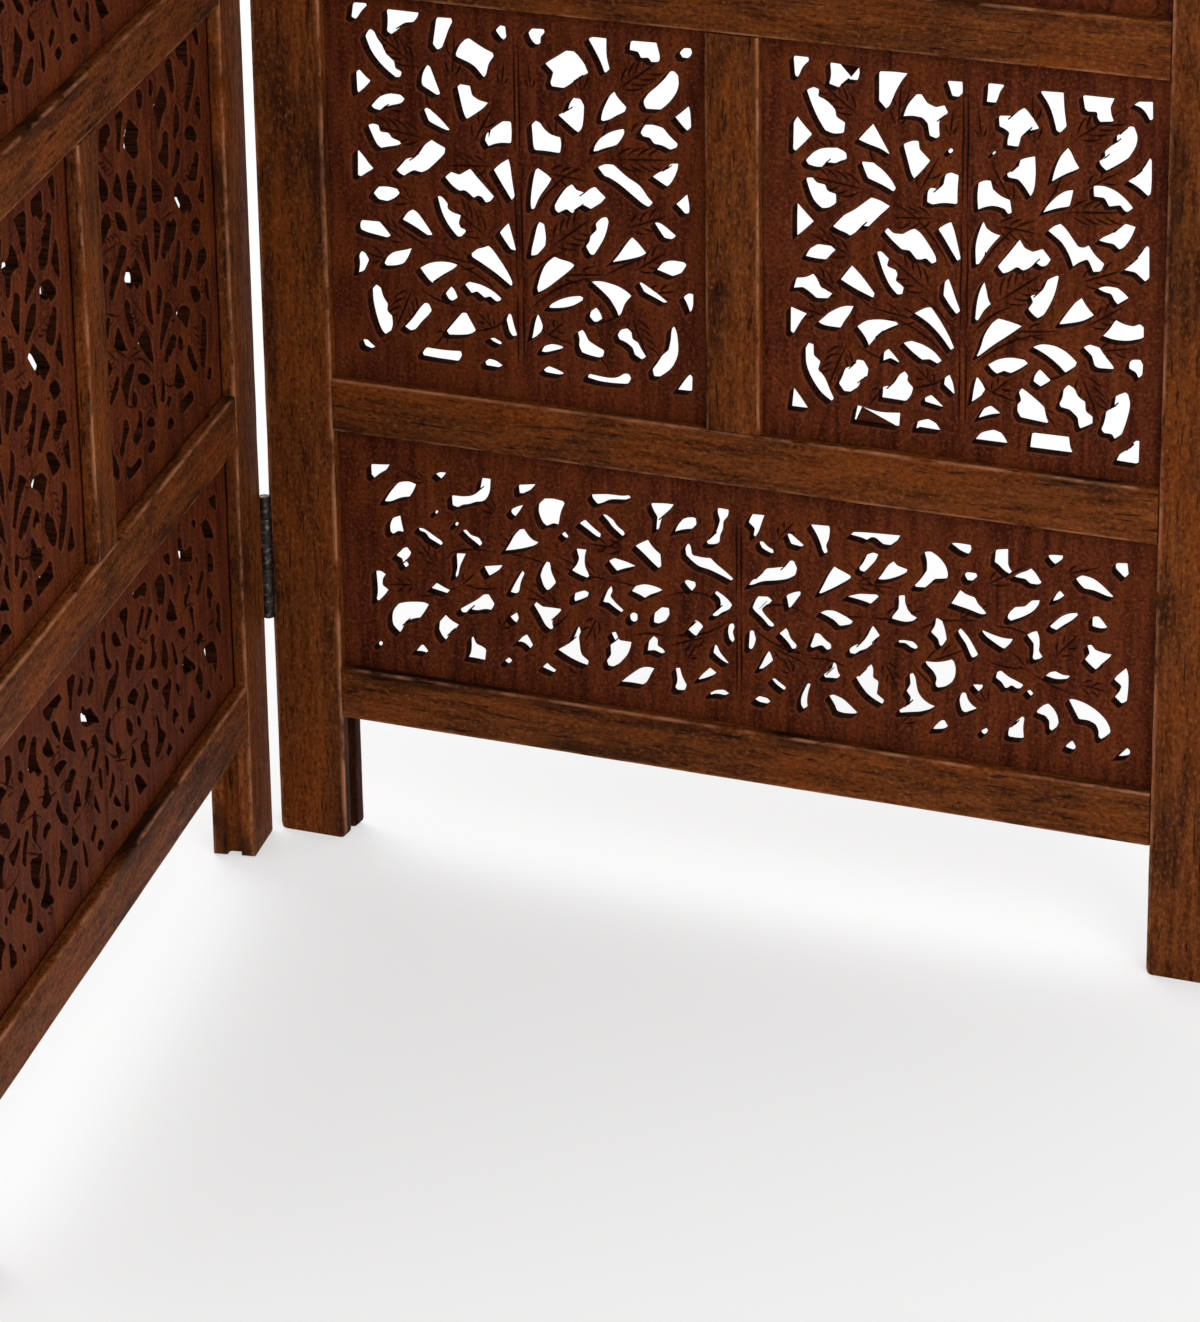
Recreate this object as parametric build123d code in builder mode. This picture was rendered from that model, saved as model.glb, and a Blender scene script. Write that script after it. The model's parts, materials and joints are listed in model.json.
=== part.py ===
from build123d import *
from math import cos, radians, sin
import os

# Folding jali screen of two carved hardwood leaves, joined by butt hinges.
#
# Each leaf is a grooved frame: two stiles that run down into legs, and rails that divide it
# into rows. Low rows hold one wide jali panel, high rows hold two square "tree" panels with
# a muntin between them. A carved crest stands in the top rail's groove.
#
# Frame: millimetres, +Z up, floor at Z = 0, origin under the centre of the bounding box.
# The right leaf lies along +X with its front towards -Y. The left leaf is folded forward
# about the hinge pins, so that the screen stands open like a V.

# ---- Driving dimensions ----

leaf_width = 508
leaf_thickness = 22
stile_width = 38
rail_height = 28
muntin_width = 28
leg_height = 68
band_opening = 128
tree_opening = 199
row_openings = [band_opening, tree_opening, band_opening, tree_opening,
                band_opening, tree_opening, band_opening]
stile_horn = 28                 # how far a stile stands above the top rail
crest_rise = 123                # top rail to the tip of the crest
crest_thickness = 14
end_chamfer = 3.5               # eased corners of feet and stile tops
fold_angle = 101.4              # left leaf, turned forward from flat

# Joinery: one groove, a third of the thickness, takes the panels and the stub tenons alike.
groove_width = 7.4
groove_depth = 7
shrink_gap = 1                  # a panel stops this far short of its groove's floor

# Butt hinges of five knuckles. Three knuckles belong to the right leaf, two to the left.
hinge_height = 66
hinge_centres = [151.5, 1317.5]
outer_knuckle = 12
inner_knuckle = 15
knuckle_play = 0.15             # taken off each end of an inner knuckle
plate_thickness = 1.5
plate_depth = 16.5
barrel_radius = 2.8
pin_radius = 1.3
pin_clearance = 0.05            # radial, in the knuckles that turn on the pin
barrel_room = 0.4               # clear space round a turning knuckle
axis_proud = 1.5                # pin axis stands this far in front of the front faces
screw_heights = [-19.5, 19.5]   # from the hinge's middle
screw_sides = 8                 # the small screws are drawn with flat sides
screw_depth = 9                 # from the front face
screw_radius = 1.2
screw_length = 14

# Openings of a tree panel, from the middle of its opening's lower edge.
tree_hub = (0, 26)              # middle of the fan at the tree's foot
branch_heights = [62, 98, 134]
stem_gap = 6                    # from the stem's middle to a branch's inner slit
inner_slit = {"angle": 38, "length": 38, "half_width": 6}
outer_slit_start = 50
outer_slit_drop = 10            # an outer slit starts this much below its inner one
outer_slit = {"angle": 62, "length": 42, "half_width": 8}
foot_slot = [20, 66, 7, 12]     # its ends and its lower and upper edges
side_notch = 12                 # height and depth of the notch half-way up the low branches
side_notch_height = 52

# Openings of a band panel.
band_hub = (0, 16)
rosette_across = 132            # a rosette's distance from the panel's middle
rosette_height = 62
rosette_angles = [18, 306]
hanging_notch = [28, 70, 52, 16]    # its ends, its point and its depth

# All panels.
border = 5                      # a notch in a corner keeps this far from the frame
corner_notch = 24

# Crest: cusps on the right half, from the middle of the top rail.
shoulder = (146, 58)
collar = (68, 88)
lobe_height = 8                 # how far an arc bulges between two cusps
crest_hub = (0, 14)
crest_notch = [(96, 10), (160, 10), (128, 46)]
ray_spread = [18, 162]          # first and last slit of a fan that stands on a rail

# ---- Worked out from them ----

cheek = (leaf_thickness - groove_width) / 2
rail_length = leaf_width - 2 * stile_width
panel_lap = groove_depth - shrink_gap
axis_inset = barrel_radius - plate_thickness    # pin axis to each stile's outer edge
countersink = 45                                # degrees, as deep as the plate is thick
screw_head_radius = screw_radius + plate_thickness

rail_bottoms = [leg_height]
for opening in row_openings:
    rail_bottoms.append(rail_bottoms[-1] + rail_height + opening)
frame_top = rail_bottoms[-1] + rail_height
stile_height = frame_top + stile_horn
tree_width = (rail_length - muntin_width) / 2

# The pin axis, seen from under the middle of the bounding box.
fold = radians(fold_angle)
reach = axis_inset + leaf_width
back = axis_proud + leaf_thickness
pin_x = -(reach - axis_inset * cos(fold) - back * sin(fold)) / 2
pin_y = -(back - reach * sin(fold) + back * cos(fold)) / 2


class Leaf:
    """Where a leaf stands: its front face, its floor plan and its hinged edge."""

    def __init__(self, name, turn, hinge_on_right):
        across = (cos(turn), sin(turn), 0)
        front = (sin(turn), -cos(turn), 0)
        left_edge = -reach if hinge_on_right else axis_inset
        at_axis = Plane(origin=(pin_x, pin_y, 0), x_dir=across, z_dir=front)
        corner = at_axis.from_local_coords((left_edge, 0, -axis_proud))
        self.name = name
        self.face = Plane(origin=corner, x_dir=across, z_dir=front)
        self.plan = Plane(origin=corner, x_dir=across, z_dir=(0, 0, 1))
        self.hinge_on_right = hinge_on_right
        self.outward = 1 if hinge_on_right else -1
        self.hinge_edge = leaf_width if hinge_on_right else 0

    def from_hinge(self, inset, depth, height):
        """A point set into the leaf from its hinged edge."""
        across = self.hinge_edge - self.outward * inset
        return self.plan.from_local_coords((across, depth, height))


left_leaf = Leaf("left_leaf", fold, hinge_on_right=True)
right_leaf = Leaf("right_leaf", 0, hinge_on_right=False)


def save(piece, name):
    piece.label = name
    export_step(piece, f"parts/{name}.step")


# ---- Frame ----

def make_stile(leaf, left_side, hinged):
    """A stile grooved along its inner edge, with hinge seats cut into a hinged one."""
    centre = stile_width / 2 if left_side else leaf_width - stile_width / 2
    inward = 1 if left_side else -1
    groove_centre = centre + inward * (stile_width - groove_depth) / 2
    with BuildPart() as stile:
        with BuildSketch(leaf.face):
            with Locations((centre, stile_height / 2)):
                outline = Rectangle(stile_width, stile_height)
            chamfer(outline.vertices(), length=end_chamfer)
        extrude(amount=-leaf_thickness)
        with BuildSketch(leaf.face.offset(-cheek)):
            with Locations((groove_centre, stile_height / 2)):
                Rectangle(groove_depth, stile_height)
        extrude(amount=-groove_width, mode=Mode.SUBTRACT)
        if hinged:
            for middle in hinge_centres:
                seat = leaf.plan.offset(middle - hinge_height / 2)
                with BuildSketch(seat):
                    with Locations((leaf.hinge_edge - leaf.outward * plate_thickness / 2,
                                    plate_depth / 2)):
                        Rectangle(plate_thickness, plate_depth)
                extrude(amount=hinge_height, mode=Mode.SUBTRACT)
    return stile.part


def make_rail(leaf, bottom, grooved_below):
    """A rail with a groove along its edges and a stub tenon at each end."""
    middle = bottom + rail_height / 2
    edge_groove = (rail_height - groove_depth) / 2
    with BuildPart() as rail:
        with BuildSketch(leaf.face):
            with Locations((leaf_width / 2, middle)):
                Rectangle(rail_length, rail_height)
        extrude(amount=-leaf_thickness)
        with BuildSketch(leaf.face.offset(-cheek)):
            with Locations((leaf_width / 2, middle)):
                Rectangle(rail_length + 2 * groove_depth, rail_height - 2 * groove_depth)
        extrude(amount=-groove_width)
        with BuildSketch(leaf.face.offset(-cheek)):
            with Locations((leaf_width / 2, middle + edge_groove)):
                Rectangle(rail_length, groove_depth)
            if grooved_below:
                with Locations((leaf_width / 2, middle - edge_groove)):
                    Rectangle(rail_length, groove_depth)
        extrude(amount=-groove_width, mode=Mode.SUBTRACT)
    return rail.part


def make_muntin(leaf, bottom):
    """The upright between two tree panels, with stub tongues in the rails' grooves."""
    centre = (leaf_width / 2, bottom + tree_opening / 2)
    tongue_width = muntin_width - 2 * groove_depth
    with BuildPart() as muntin:
        with BuildSketch(leaf.face):
            with Locations(centre):
                Rectangle(muntin_width, tree_opening)
        extrude(amount=-leaf_thickness)
        with BuildSketch(leaf.face.offset(-cheek)):
            with Locations(centre):
                with GridLocations(muntin_width - groove_depth, 0, 2, 1):
                    Rectangle(groove_depth, tree_opening)
        extrude(amount=-groove_width, mode=Mode.SUBTRACT)
        with BuildSketch(leaf.face.offset(-cheek)):
            with Locations(centre):
                Rectangle(tongue_width, tree_opening + 2 * groove_depth)
        extrude(amount=-groove_width)
    return muntin.part


# ---- Jali panels ----
# Every opening is a straight-sided cut of three or four corners, set round the tree's stem
# as the carver sets them: slits fan out of a hub, pairs of wedges climb the stem, and
# notches follow the border.

def board_plane(leaf, middle, bottom, inset):
    """A plane behind the leaf's face, from the middle of a board's lower edge."""
    foot = leaf.face.offset(-inset).from_local_coords((middle, bottom))
    return Plane(origin=foot, x_dir=leaf.face.x_dir, z_dir=leaf.face.z_dir)


def panel_blank(width, opening):
    """A panel's outline, standing on the floor of the groove under its opening."""
    tall = opening + 2 * groove_depth - shrink_gap
    with Locations((0, (opening - shrink_gap) / 2)):
        Rectangle(width + 2 * panel_lap, tall)


def wedge(length, half_width):
    """A slit that widens from the origin along +X."""
    Polygon((0, 0), (length, -half_width), (length, half_width), align=None, mode=Mode.SUBTRACT)


def fan(hub, inner, length, half_width, first, last, count):
    """Wedges round a hub, at even angles from first to last."""
    with Locations(hub):
        with PolarLocations(inner, count, start_angle=first, angular_range=last - first,
                            endpoint=True):
            wedge(length, half_width)


def paired_wedge(across, height, angle, length, half_width):
    """One wedge on each side of the stem."""
    for side, turn in ((1, angle), (-1, 180 - angle)):
        with Locations(Location((side * across, height), turn)):
            wedge(length, half_width)


def paired_notch(*corners):
    """One cut with the given corners on each side of the stem."""
    for side in (1, -1):
        mirrored = [(side * x, y) for x, y in corners]
        Polygon(*mirrored, align=None, mode=Mode.SUBTRACT)


def corner_notches(width, bottom, height):
    """Three-cornered notches in a panel's corners, one side upright and one level."""
    side = width / 2 - border
    inner = side - corner_notch
    far = bottom + height
    paired_notch((side, bottom), (inner, bottom), (side, far))


def make_tree_panel(leaf, middle, bottom):
    """A square panel: a stem with rising branches between its leaves."""
    side = tree_width / 2 - border
    slot_start, slot_end, slot_bottom, slot_top = foot_slot
    with BuildPart() as panel:
        with BuildSketch(board_plane(leaf, middle, bottom, cheek)):
            panel_blank(tree_width, tree_opening)
            fan(hub=tree_hub, inner=8, length=24, half_width=4, first=-20, last=200, count=5)
            for height in branch_heights:
                paired_wedge(stem_gap, height, **inner_slit)
                paired_wedge(outer_slit_start, height - outer_slit_drop, **outer_slit)
            paired_notch((slot_start, slot_bottom), (slot_end, slot_bottom),
                         (slot_end, slot_top), (slot_start, slot_top))
            paired_notch((side, side_notch_height - side_notch), (side - side_notch, side_notch_height),
                         (side, side_notch_height + side_notch))
            corner_notches(tree_width, tree_opening - border, -corner_notch)
        extrude(amount=-groove_width)
    return panel.part


def make_band_panel(leaf, bottom):
    """A wide panel: a low tree in the middle and a rosette towards each end."""
    notch_top = band_opening - border
    notch_start, notch_end, notch_point, notch_depth = hanging_notch
    with BuildPart() as panel:
        with BuildSketch(board_plane(leaf, leaf_width / 2, bottom, cheek)):
            panel_blank(rail_length, band_opening)
            fan(hub=band_hub, inner=14, length=46, half_width=5, first=14, last=166, count=7)
            for side in (-1, 1):
                fan(hub=(side * rosette_across, rosette_height), inner=12, length=32, half_width=5,
                    first=rosette_angles[0], last=rosette_angles[1], count=5)
            paired_notch((notch_start, notch_top), (notch_end, notch_top),
                         (notch_point, notch_top - notch_depth))
            corner_notches(rail_length, border, corner_notch)
            corner_notches(rail_length, notch_top, -corner_notch)
        extrude(amount=-groove_width)
    return panel.part


def make_crest(leaf):
    """A cusped crest board with tongues in the top rail's groove and the stiles' grooves."""
    half = rail_length / 2
    tip = (0, crest_rise)
    board_inset = (leaf_thickness - crest_thickness) / 2
    with BuildPart() as crest:
        with BuildSketch(board_plane(leaf, leaf_width / 2, frame_top, board_inset)):
            with BuildLine():
                SagittaArc((half, stile_horn), shoulder, -lobe_height)
                SagittaArc(shoulder, collar, -lobe_height)
                SagittaArc(collar, tip, lobe_height)
                Polyline(tip, (0, 0), (half, 0), (half, stile_horn))
            make_face()
            mirror(about=Plane.YZ)
            fan(hub=crest_hub, inner=12, length=52, half_width=6,
                first=ray_spread[0], last=ray_spread[1], count=7)
            paired_notch(*crest_notch)
        extrude(amount=-crest_thickness)
        with BuildSketch(board_plane(leaf, leaf_width / 2, frame_top, cheek)):
            with Locations((0, -groove_depth / 2)):
                Rectangle(rail_length, groove_depth)
            with Locations((0, stile_horn / 2)):
                with GridLocations(rail_length + groove_depth, 0, 2, 1):
                    Rectangle(groove_depth, stile_horn - 2 * end_chamfer)
        extrude(amount=-groove_width)
    return crest.part


# ---- Hinges ----

# Bottom and length of each knuckle, counted from the hinge's lower end.
right_knuckles = []
left_knuckles = []
knuckle_bottom = 0
for position in range(5):
    if position % 2 == 0:
        right_knuckles.append((knuckle_bottom, outer_knuckle))
        knuckle_bottom += outer_knuckle
    else:
        left_knuckles.append((knuckle_bottom + knuckle_play, inner_knuckle - 2 * knuckle_play))
        knuckle_bottom += inner_knuckle


def make_hinge_plates(leaf, knuckles, bore_radius):
    """One leaf's plates of both hinges, rolled into knuckles along the pin axis."""
    plate_middle = leaf.hinge_edge - leaf.outward * plate_thickness / 2
    barrel_centre = (leaf.hinge_edge + leaf.outward * axis_inset, -axis_proud)
    into_stile = leaf.plan.x_dir * -leaf.outward
    # Behind this depth a plate is clear of the other leaf's turning knuckles.
    room = barrel_radius + barrel_room
    plate_front = (room ** 2 - axis_inset ** 2) ** 0.5 - axis_proud
    with BuildPart() as plates:
        for middle in hinge_centres:
            base = middle - hinge_height / 2
            with BuildSketch(leaf.plan.offset(base)):
                with Locations((plate_middle, (plate_front + plate_depth) / 2)):
                    Rectangle(plate_thickness, plate_depth - plate_front)
            extrude(amount=hinge_height)
            for bottom, length in knuckles:
                with BuildSketch(leaf.plan.offset(base + bottom)):
                    with Locations((plate_middle, (plate_front - axis_proud) / 2)):
                        Rectangle(plate_thickness, plate_front + axis_proud)
                    with Locations(barrel_centre):
                        Circle(barrel_radius)
                        Circle(bore_radius, mode=Mode.SUBTRACT)
                extrude(amount=length)
            for height in screw_heights:
                mouth = leaf.from_hinge(0, screw_depth, middle + height)
                with BuildSketch(Plane(origin=mouth, z_dir=into_stile)):
                    RegularPolygon(screw_head_radius, screw_sides)
                extrude(amount=plate_thickness, taper=countersink, mode=Mode.SUBTRACT)
    return plates.part


def make_hinge_screws(leaf):
    """Countersunk wood screws, heads flush with the plates."""
    into_stile = leaf.plan.x_dir * -leaf.outward
    with BuildPart() as screws:
        for middle in hinge_centres:
            for height in screw_heights:
                mouth = leaf.from_hinge(0, screw_depth, middle + height)
                neck = leaf.from_hinge(plate_thickness, screw_depth, middle + height)
                with BuildSketch(Plane(origin=mouth, z_dir=into_stile)):
                    RegularPolygon(screw_head_radius, screw_sides)
                extrude(amount=plate_thickness, taper=countersink)
                with BuildSketch(Plane(origin=neck, z_dir=into_stile)):
                    RegularPolygon(screw_radius, screw_sides)
                extrude(amount=screw_length - plate_thickness)
    return screws.part


def make_hinge_pins():
    """Plain pins, one through each hinge."""
    with BuildPart() as pins:
        for middle in hinge_centres:
            with BuildSketch(Plane.XY.offset(middle - hinge_height / 2)):
                with Locations((pin_x, pin_y)):
                    Circle(pin_radius)
            extrude(amount=hinge_height)
    return pins.part


# ---- Build and save every piece ----

os.makedirs("parts", exist_ok=True)

for leaf in (left_leaf, right_leaf):
    outer_on_left = leaf.hinge_on_right
    save(make_stile(leaf, outer_on_left, hinged=False), f"{leaf.name}_outer_stile")
    save(make_stile(leaf, not outer_on_left, hinged=True), f"{leaf.name}_hinge_stile")

    for number, bottom in enumerate(rail_bottoms, start=1):
        if number == 1:
            name = "bottom_rail"
        elif number == len(rail_bottoms):
            name = "top_rail"
        else:
            name = f"rail_{number}"
        save(make_rail(leaf, bottom, grooved_below=number > 1), f"{leaf.name}_{name}")

    for row, opening in enumerate(row_openings, start=1):
        bottom = rail_bottoms[row - 1] + rail_height
        row_name = f"{leaf.name}_row_{row}"
        if opening == band_opening:
            save(make_band_panel(leaf, bottom), f"{row_name}_band_panel")
        else:
            first_middle = stile_width + tree_width / 2
            second_middle = leaf_width - first_middle
            save(make_tree_panel(leaf, first_middle, bottom), f"{row_name}_tree_panel_left")
            save(make_tree_panel(leaf, second_middle, bottom), f"{row_name}_tree_panel_right")
            save(make_muntin(leaf, bottom), f"{row_name}_muntin")

    save(make_crest(leaf), f"{leaf.name}_crest")
    save(make_hinge_screws(leaf), f"{leaf.name}_hinge_screws")

save(make_hinge_plates(left_leaf, left_knuckles, pin_radius + pin_clearance),
     "left_leaf_hinge_plates")
save(make_hinge_plates(right_leaf, right_knuckles, pin_radius), "right_leaf_hinge_plates")
save(make_hinge_pins(), "hinge_pins")
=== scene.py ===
# %% [markdown]
# # A carved folding screen
#
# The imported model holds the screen's true pieces: two hinged leaves, each a grooved frame of
# stiles, rails and short uprights, with pierced jali panels in the grooves. It is loaded first
# and never moved. Everything below is modelled in its frame, in metres, and stands for the
# plain piece in the same place.

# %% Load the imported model
import json
import math

import bpy
import numpy as np
from mathutils import Matrix, Vector
from mathutils.geometry import delaunay_2d_cdt


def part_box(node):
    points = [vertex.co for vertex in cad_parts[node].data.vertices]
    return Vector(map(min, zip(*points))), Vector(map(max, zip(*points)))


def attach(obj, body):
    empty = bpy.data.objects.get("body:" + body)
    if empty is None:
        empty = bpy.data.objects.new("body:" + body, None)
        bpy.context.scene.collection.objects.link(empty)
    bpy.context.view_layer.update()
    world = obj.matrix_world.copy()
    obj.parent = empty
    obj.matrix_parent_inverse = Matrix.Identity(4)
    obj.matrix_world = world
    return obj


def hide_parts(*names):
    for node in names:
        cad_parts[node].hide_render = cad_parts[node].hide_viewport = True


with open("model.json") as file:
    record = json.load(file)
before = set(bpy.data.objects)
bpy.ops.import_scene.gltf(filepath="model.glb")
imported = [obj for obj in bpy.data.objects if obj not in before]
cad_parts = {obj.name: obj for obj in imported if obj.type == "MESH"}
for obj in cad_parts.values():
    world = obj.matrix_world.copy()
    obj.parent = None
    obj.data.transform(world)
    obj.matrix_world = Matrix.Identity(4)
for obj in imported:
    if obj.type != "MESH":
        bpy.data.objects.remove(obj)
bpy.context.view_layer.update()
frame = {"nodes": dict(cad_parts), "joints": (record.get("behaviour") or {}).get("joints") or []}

mm = 0.001
print("pieces in the model:", len(frame["nodes"]))

# %% [markdown]
# ## Camera
#
# The screen is seen from a little above eye level of a seated person, through a long lens, so
# that upright lines stay almost parallel. The camera is turned about the upright axis, tipped
# down, and rolled by less than a degree.

# %% Camera
CAMERA_PLACE = (0.9443, -2.0472, 1.1577)
CAMERA_YAW = math.radians(23.68)
CAMERA_TILT = math.radians(67.48)
CAMERA_ROLL = math.radians(-0.81)
CAMERA_LENS = 162.8

bpy.ops.object.camera_add()
camera = bpy.context.object
camera.matrix_world = (Matrix.Translation(CAMERA_PLACE) @ Matrix.Rotation(CAMERA_YAW, 4, "Z")
                       @ Matrix.Rotation(CAMERA_TILT, 4, "X") @ Matrix.Rotation(CAMERA_ROLL, 4, "Z"))
camera.data.sensor_fit = "HORIZONTAL"
camera.data.sensor_width = 36
camera.data.lens = CAMERA_LENS
bpy.context.scene.camera = camera
print("lens in millimetres:", camera.data.lens)

# %% [markdown]
# ## Studio
#
# A white sweep and an even sky light give dark wood its own colour. One broad lamp stands high
# behind the left leaf, so light falls under the bottom rails and the shadows of both leaves
# lie softly inside the fold. A nearer lamp at the front right lights the inside of the fold,
# most of all towards the right, and picks out the worn edges.

# %% Floor
FLOOR_SIZE = 30
FADE_START = 0.4
FADE_END = 3.0
WHITE_NEAR = 0.5

bpy.ops.mesh.primitive_plane_add(size=FLOOR_SIZE)
floor = bpy.context.object
floor.name = "studio_floor"
floor_paint = bpy.data.materials.new("floor_paint")
floor_paint.use_nodes = True
floor_nodes = floor_paint.node_tree.nodes
floor_links = floor_paint.node_tree.links
floor_shader = floor_nodes["Principled BSDF"]
floor_shader.inputs["Base Color"].default_value = (0.93, 0.93, 0.93, 1)
floor_shader.inputs["Roughness"].default_value = 0.9
floor_shader.inputs["Specular IOR Level"].default_value = 0.1
floor.data.materials.append(floor_paint)

# %% [markdown]
# Near the screen the floor is half matt paint, which takes the shadow, and half plain white,
# which keeps that shadow pale. Further out it fades to white alone for every ray that looks at
# it, so no horizon shows from any side.

# %% Floor that fades to white
distance = floor_nodes.new("ShaderNodeVectorMath")
distance.operation = "LENGTH"
place = floor_nodes.new("ShaderNodeTexCoord")
fade = floor_nodes.new("ShaderNodeMapRange")
fade.inputs["From Min"].default_value = FADE_START
fade.inputs["From Max"].default_value = FADE_END
fade.inputs["To Min"].default_value = WHITE_NEAR
floor_ray = floor_nodes.new("ShaderNodeLightPath")
seen = floor_nodes.new("ShaderNodeMath")
seen.operation = "MAXIMUM"
seen_through = floor_nodes.new("ShaderNodeMath")
seen_through.operation = "MAXIMUM"
amount = floor_nodes.new("ShaderNodeMath")
amount.operation = "MULTIPLY"
white = floor_nodes.new("ShaderNodeEmission")
blend = floor_nodes.new("ShaderNodeMixShader")
floor_links.new(place.outputs["Object"], distance.inputs[0])
floor_links.new(distance.outputs["Value"], fade.inputs["Value"])
floor_links.new(floor_ray.outputs["Is Camera Ray"], seen.inputs[0])
floor_links.new(floor_ray.outputs["Is Glossy Ray"], seen.inputs[1])
floor_links.new(seen.outputs["Value"], seen_through.inputs[0])
floor_links.new(floor_ray.outputs["Is Transmission Ray"], seen_through.inputs[1])
floor_links.new(fade.outputs["Result"], amount.inputs[0])
floor_links.new(seen_through.outputs["Value"], amount.inputs[1])
floor_links.new(amount.outputs["Value"], blend.inputs["Fac"])
floor_links.new(floor_shader.outputs["BSDF"], blend.inputs[1])
floor_links.new(white.outputs["Emission"], blend.inputs[2])
floor_links.new(blend.outputs["Shader"], floor_nodes["Material Output"].inputs["Surface"])

# %% Sky light
SKY_STRENGTH = 0.8

world = bpy.data.worlds.new("studio_sky")
bpy.context.scene.world = world
world.use_nodes = True
sky_nodes = world.node_tree.nodes
sky_links = world.node_tree.links
sky_light = sky_nodes["Background"]
sky_light.inputs["Color"].default_value = (1, 1, 1, 1)
sky_light.inputs["Strength"].default_value = SKY_STRENGTH
sky_seen = sky_nodes.new("ShaderNodeBackground")
sky_seen.inputs["Color"].default_value = (1, 1, 1, 1)
sky_choice = sky_nodes.new("ShaderNodeMixShader")
ray = sky_nodes.new("ShaderNodeLightPath")
seen_in_gloss = sky_nodes.new("ShaderNodeMath")
seen_in_gloss.operation = "MAXIMUM"
sky_links.new(ray.outputs["Is Camera Ray"], seen_in_gloss.inputs[0])
sky_links.new(ray.outputs["Is Glossy Ray"], seen_in_gloss.inputs[1])
sky_links.new(seen_in_gloss.outputs["Value"], sky_choice.inputs["Fac"])
sky_links.new(sky_light.outputs["Background"], sky_choice.inputs[1])
sky_links.new(sky_seen.outputs["Background"], sky_choice.inputs[2])
sky_links.new(sky_choice.outputs["Shader"], sky_nodes["World Output"].inputs["Surface"])

# %% Lamps


def soft_lamp(name, place, aim, size, power):
    """A square soft box at a place, turned to face its aim."""
    bpy.ops.object.light_add(type="AREA", location=place)
    lamp = bpy.context.object
    lamp.name = name
    lamp.rotation_euler = (Vector(aim) - Vector(place)).to_track_quat("-Z", "Y").to_euler()
    lamp.data.size = size
    lamp.data.energy = power
    return lamp


soft_lamp("back_lamp", (-2.3, 1.9, 2.4), (0, 0, 0.2), 2.4, 60)
soft_lamp("front_lamp", (1.6, -1.5, 1.6), (-0.1, 0, 0.5), 1.0, 22)
bpy.context.scene.view_settings.view_transform = "Standard"

# %% [markdown]
# ## Where things are
#
# The right leaf stands along the X axis with its front towards -Y. The left leaf is its mirror
# image, swung forward about the hinge pins. So every piece is modelled once, on the right
# leaf, and a mirrored copy is swung into place for the left one.

# %% Places taken from the model
joint = frame["joints"][0]
FOLD = math.radians(-joint["range_deg"][0])
PIN = Vector(joint["pos_m"])


def box_of(name):
    """A right-leaf node's corners, as two vectors."""
    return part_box(f"right_leaf_{name}")


stile_low, stile_high = box_of("outer_stile")
FRONT = stile_low.y
BACK = stile_high.y
MIDDLE = (FRONT + BACK) / 2
TO_LEFT = (Matrix.Translation(PIN) @ Matrix.Rotation(FOLD, 4, "Z")
           @ Matrix.Scale(-1, 4, (1, 0, 0)) @ Matrix.Translation(-PIN))
print("fold in degrees:", round(math.degrees(FOLD), 1), " leaf thickness:", round(BACK - FRONT, 4))

# %% [markdown]
# ## Small helpers
#
# An operator works on whatever is selected, so each step starts by selecting one piece alone.
# Faces and edges are then picked by where they are.

# %% Helpers for operators


def alone(piece):
    """Leaves one piece selected and active."""
    bpy.ops.object.select_all(action="DESELECT")
    piece.select_set(True)
    bpy.context.view_layer.objects.active = piece


def block(name, low, high):
    """A sawn block between two corners, its place in its mesh."""
    low = Vector(low)
    high = Vector(high)
    bpy.ops.object.select_all(action="DESELECT")
    bpy.ops.mesh.primitive_cube_add(size=1, location=(low + high) / 2, scale=high - low)
    bpy.ops.object.transform_apply(location=True, rotation=True, scale=True)
    piece = bpy.context.object
    piece.name = name
    return piece


def apply_modifier(piece, kind, **settings):
    """Adds one modifier, sets it and applies it."""
    alone(piece)
    modifier = piece.modifiers.new(kind.lower(), kind)
    for key, value in settings.items():
        setattr(modifier, key, value)
    bpy.ops.object.modifier_apply(modifier=modifier.name)


def cut(piece, cutter, operation="DIFFERENCE"):
    """Cuts one piece with another, which is used up."""
    apply_modifier(piece, "BOOLEAN", object=cutter, operation=operation, solver="EXACT")
    bpy.data.objects.remove(cutter)


def soften(piece, degrees=35):
    """Smooth shading that keeps real corners."""
    alone(piece)
    bpy.ops.object.shade_smooth_by_angle(angle=math.radians(degrees))


def bevel_edges(piece, chosen, width, segments=3):
    """Rounds the edges for which chosen(start, end) is true."""
    alone(piece)
    bpy.ops.object.mode_set(mode="EDIT")
    bpy.ops.mesh.select_all(action="DESELECT")
    bpy.ops.mesh.select_mode(type="EDGE")
    bpy.ops.object.mode_set(mode="OBJECT")
    places = [v.co for v in piece.data.vertices]
    for edge in piece.data.edges:
        edge.select = chosen(places[edge.vertices[0]], places[edge.vertices[1]])
    bpy.ops.object.mode_set(mode="EDIT")
    bpy.ops.mesh.bevel(offset=width, segments=segments, affect="EDGES")
    bpy.ops.object.mode_set(mode="OBJECT")


def slice_across(piece, axis, start, stop, pitch):
    """Cuts rings round a piece, so that its long edges can wander a little."""
    alone(piece)
    bpy.ops.object.mode_set(mode="EDIT")
    normal = Vector((axis == "X", axis == "Y", axis == "Z"))
    for place in np.arange(start + pitch, stop, pitch):
        bpy.ops.mesh.select_all(action="SELECT")
        bpy.ops.mesh.bisect(plane_co=normal * place, plane_no=normal)
    bpy.ops.object.mode_set(mode="OBJECT")


# %% [markdown]
# ## Wood grain that belongs to each piece
#
# Grain runs along a plank, whichever way the plank stands, and no two planks match. Each mesh
# carries a vector named grain: metres along, across and through its own plank, moved by a
# different amount for each piece. A second vector, section, runs from -1 to 1 across and
# through the plank, and tells the finish where the edges are: there the wood is darker in
# patches, and the arrises are pale, partly worn and partly a painted highlight.

# %% Grain and section vectors
grain_seed = 0


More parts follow.
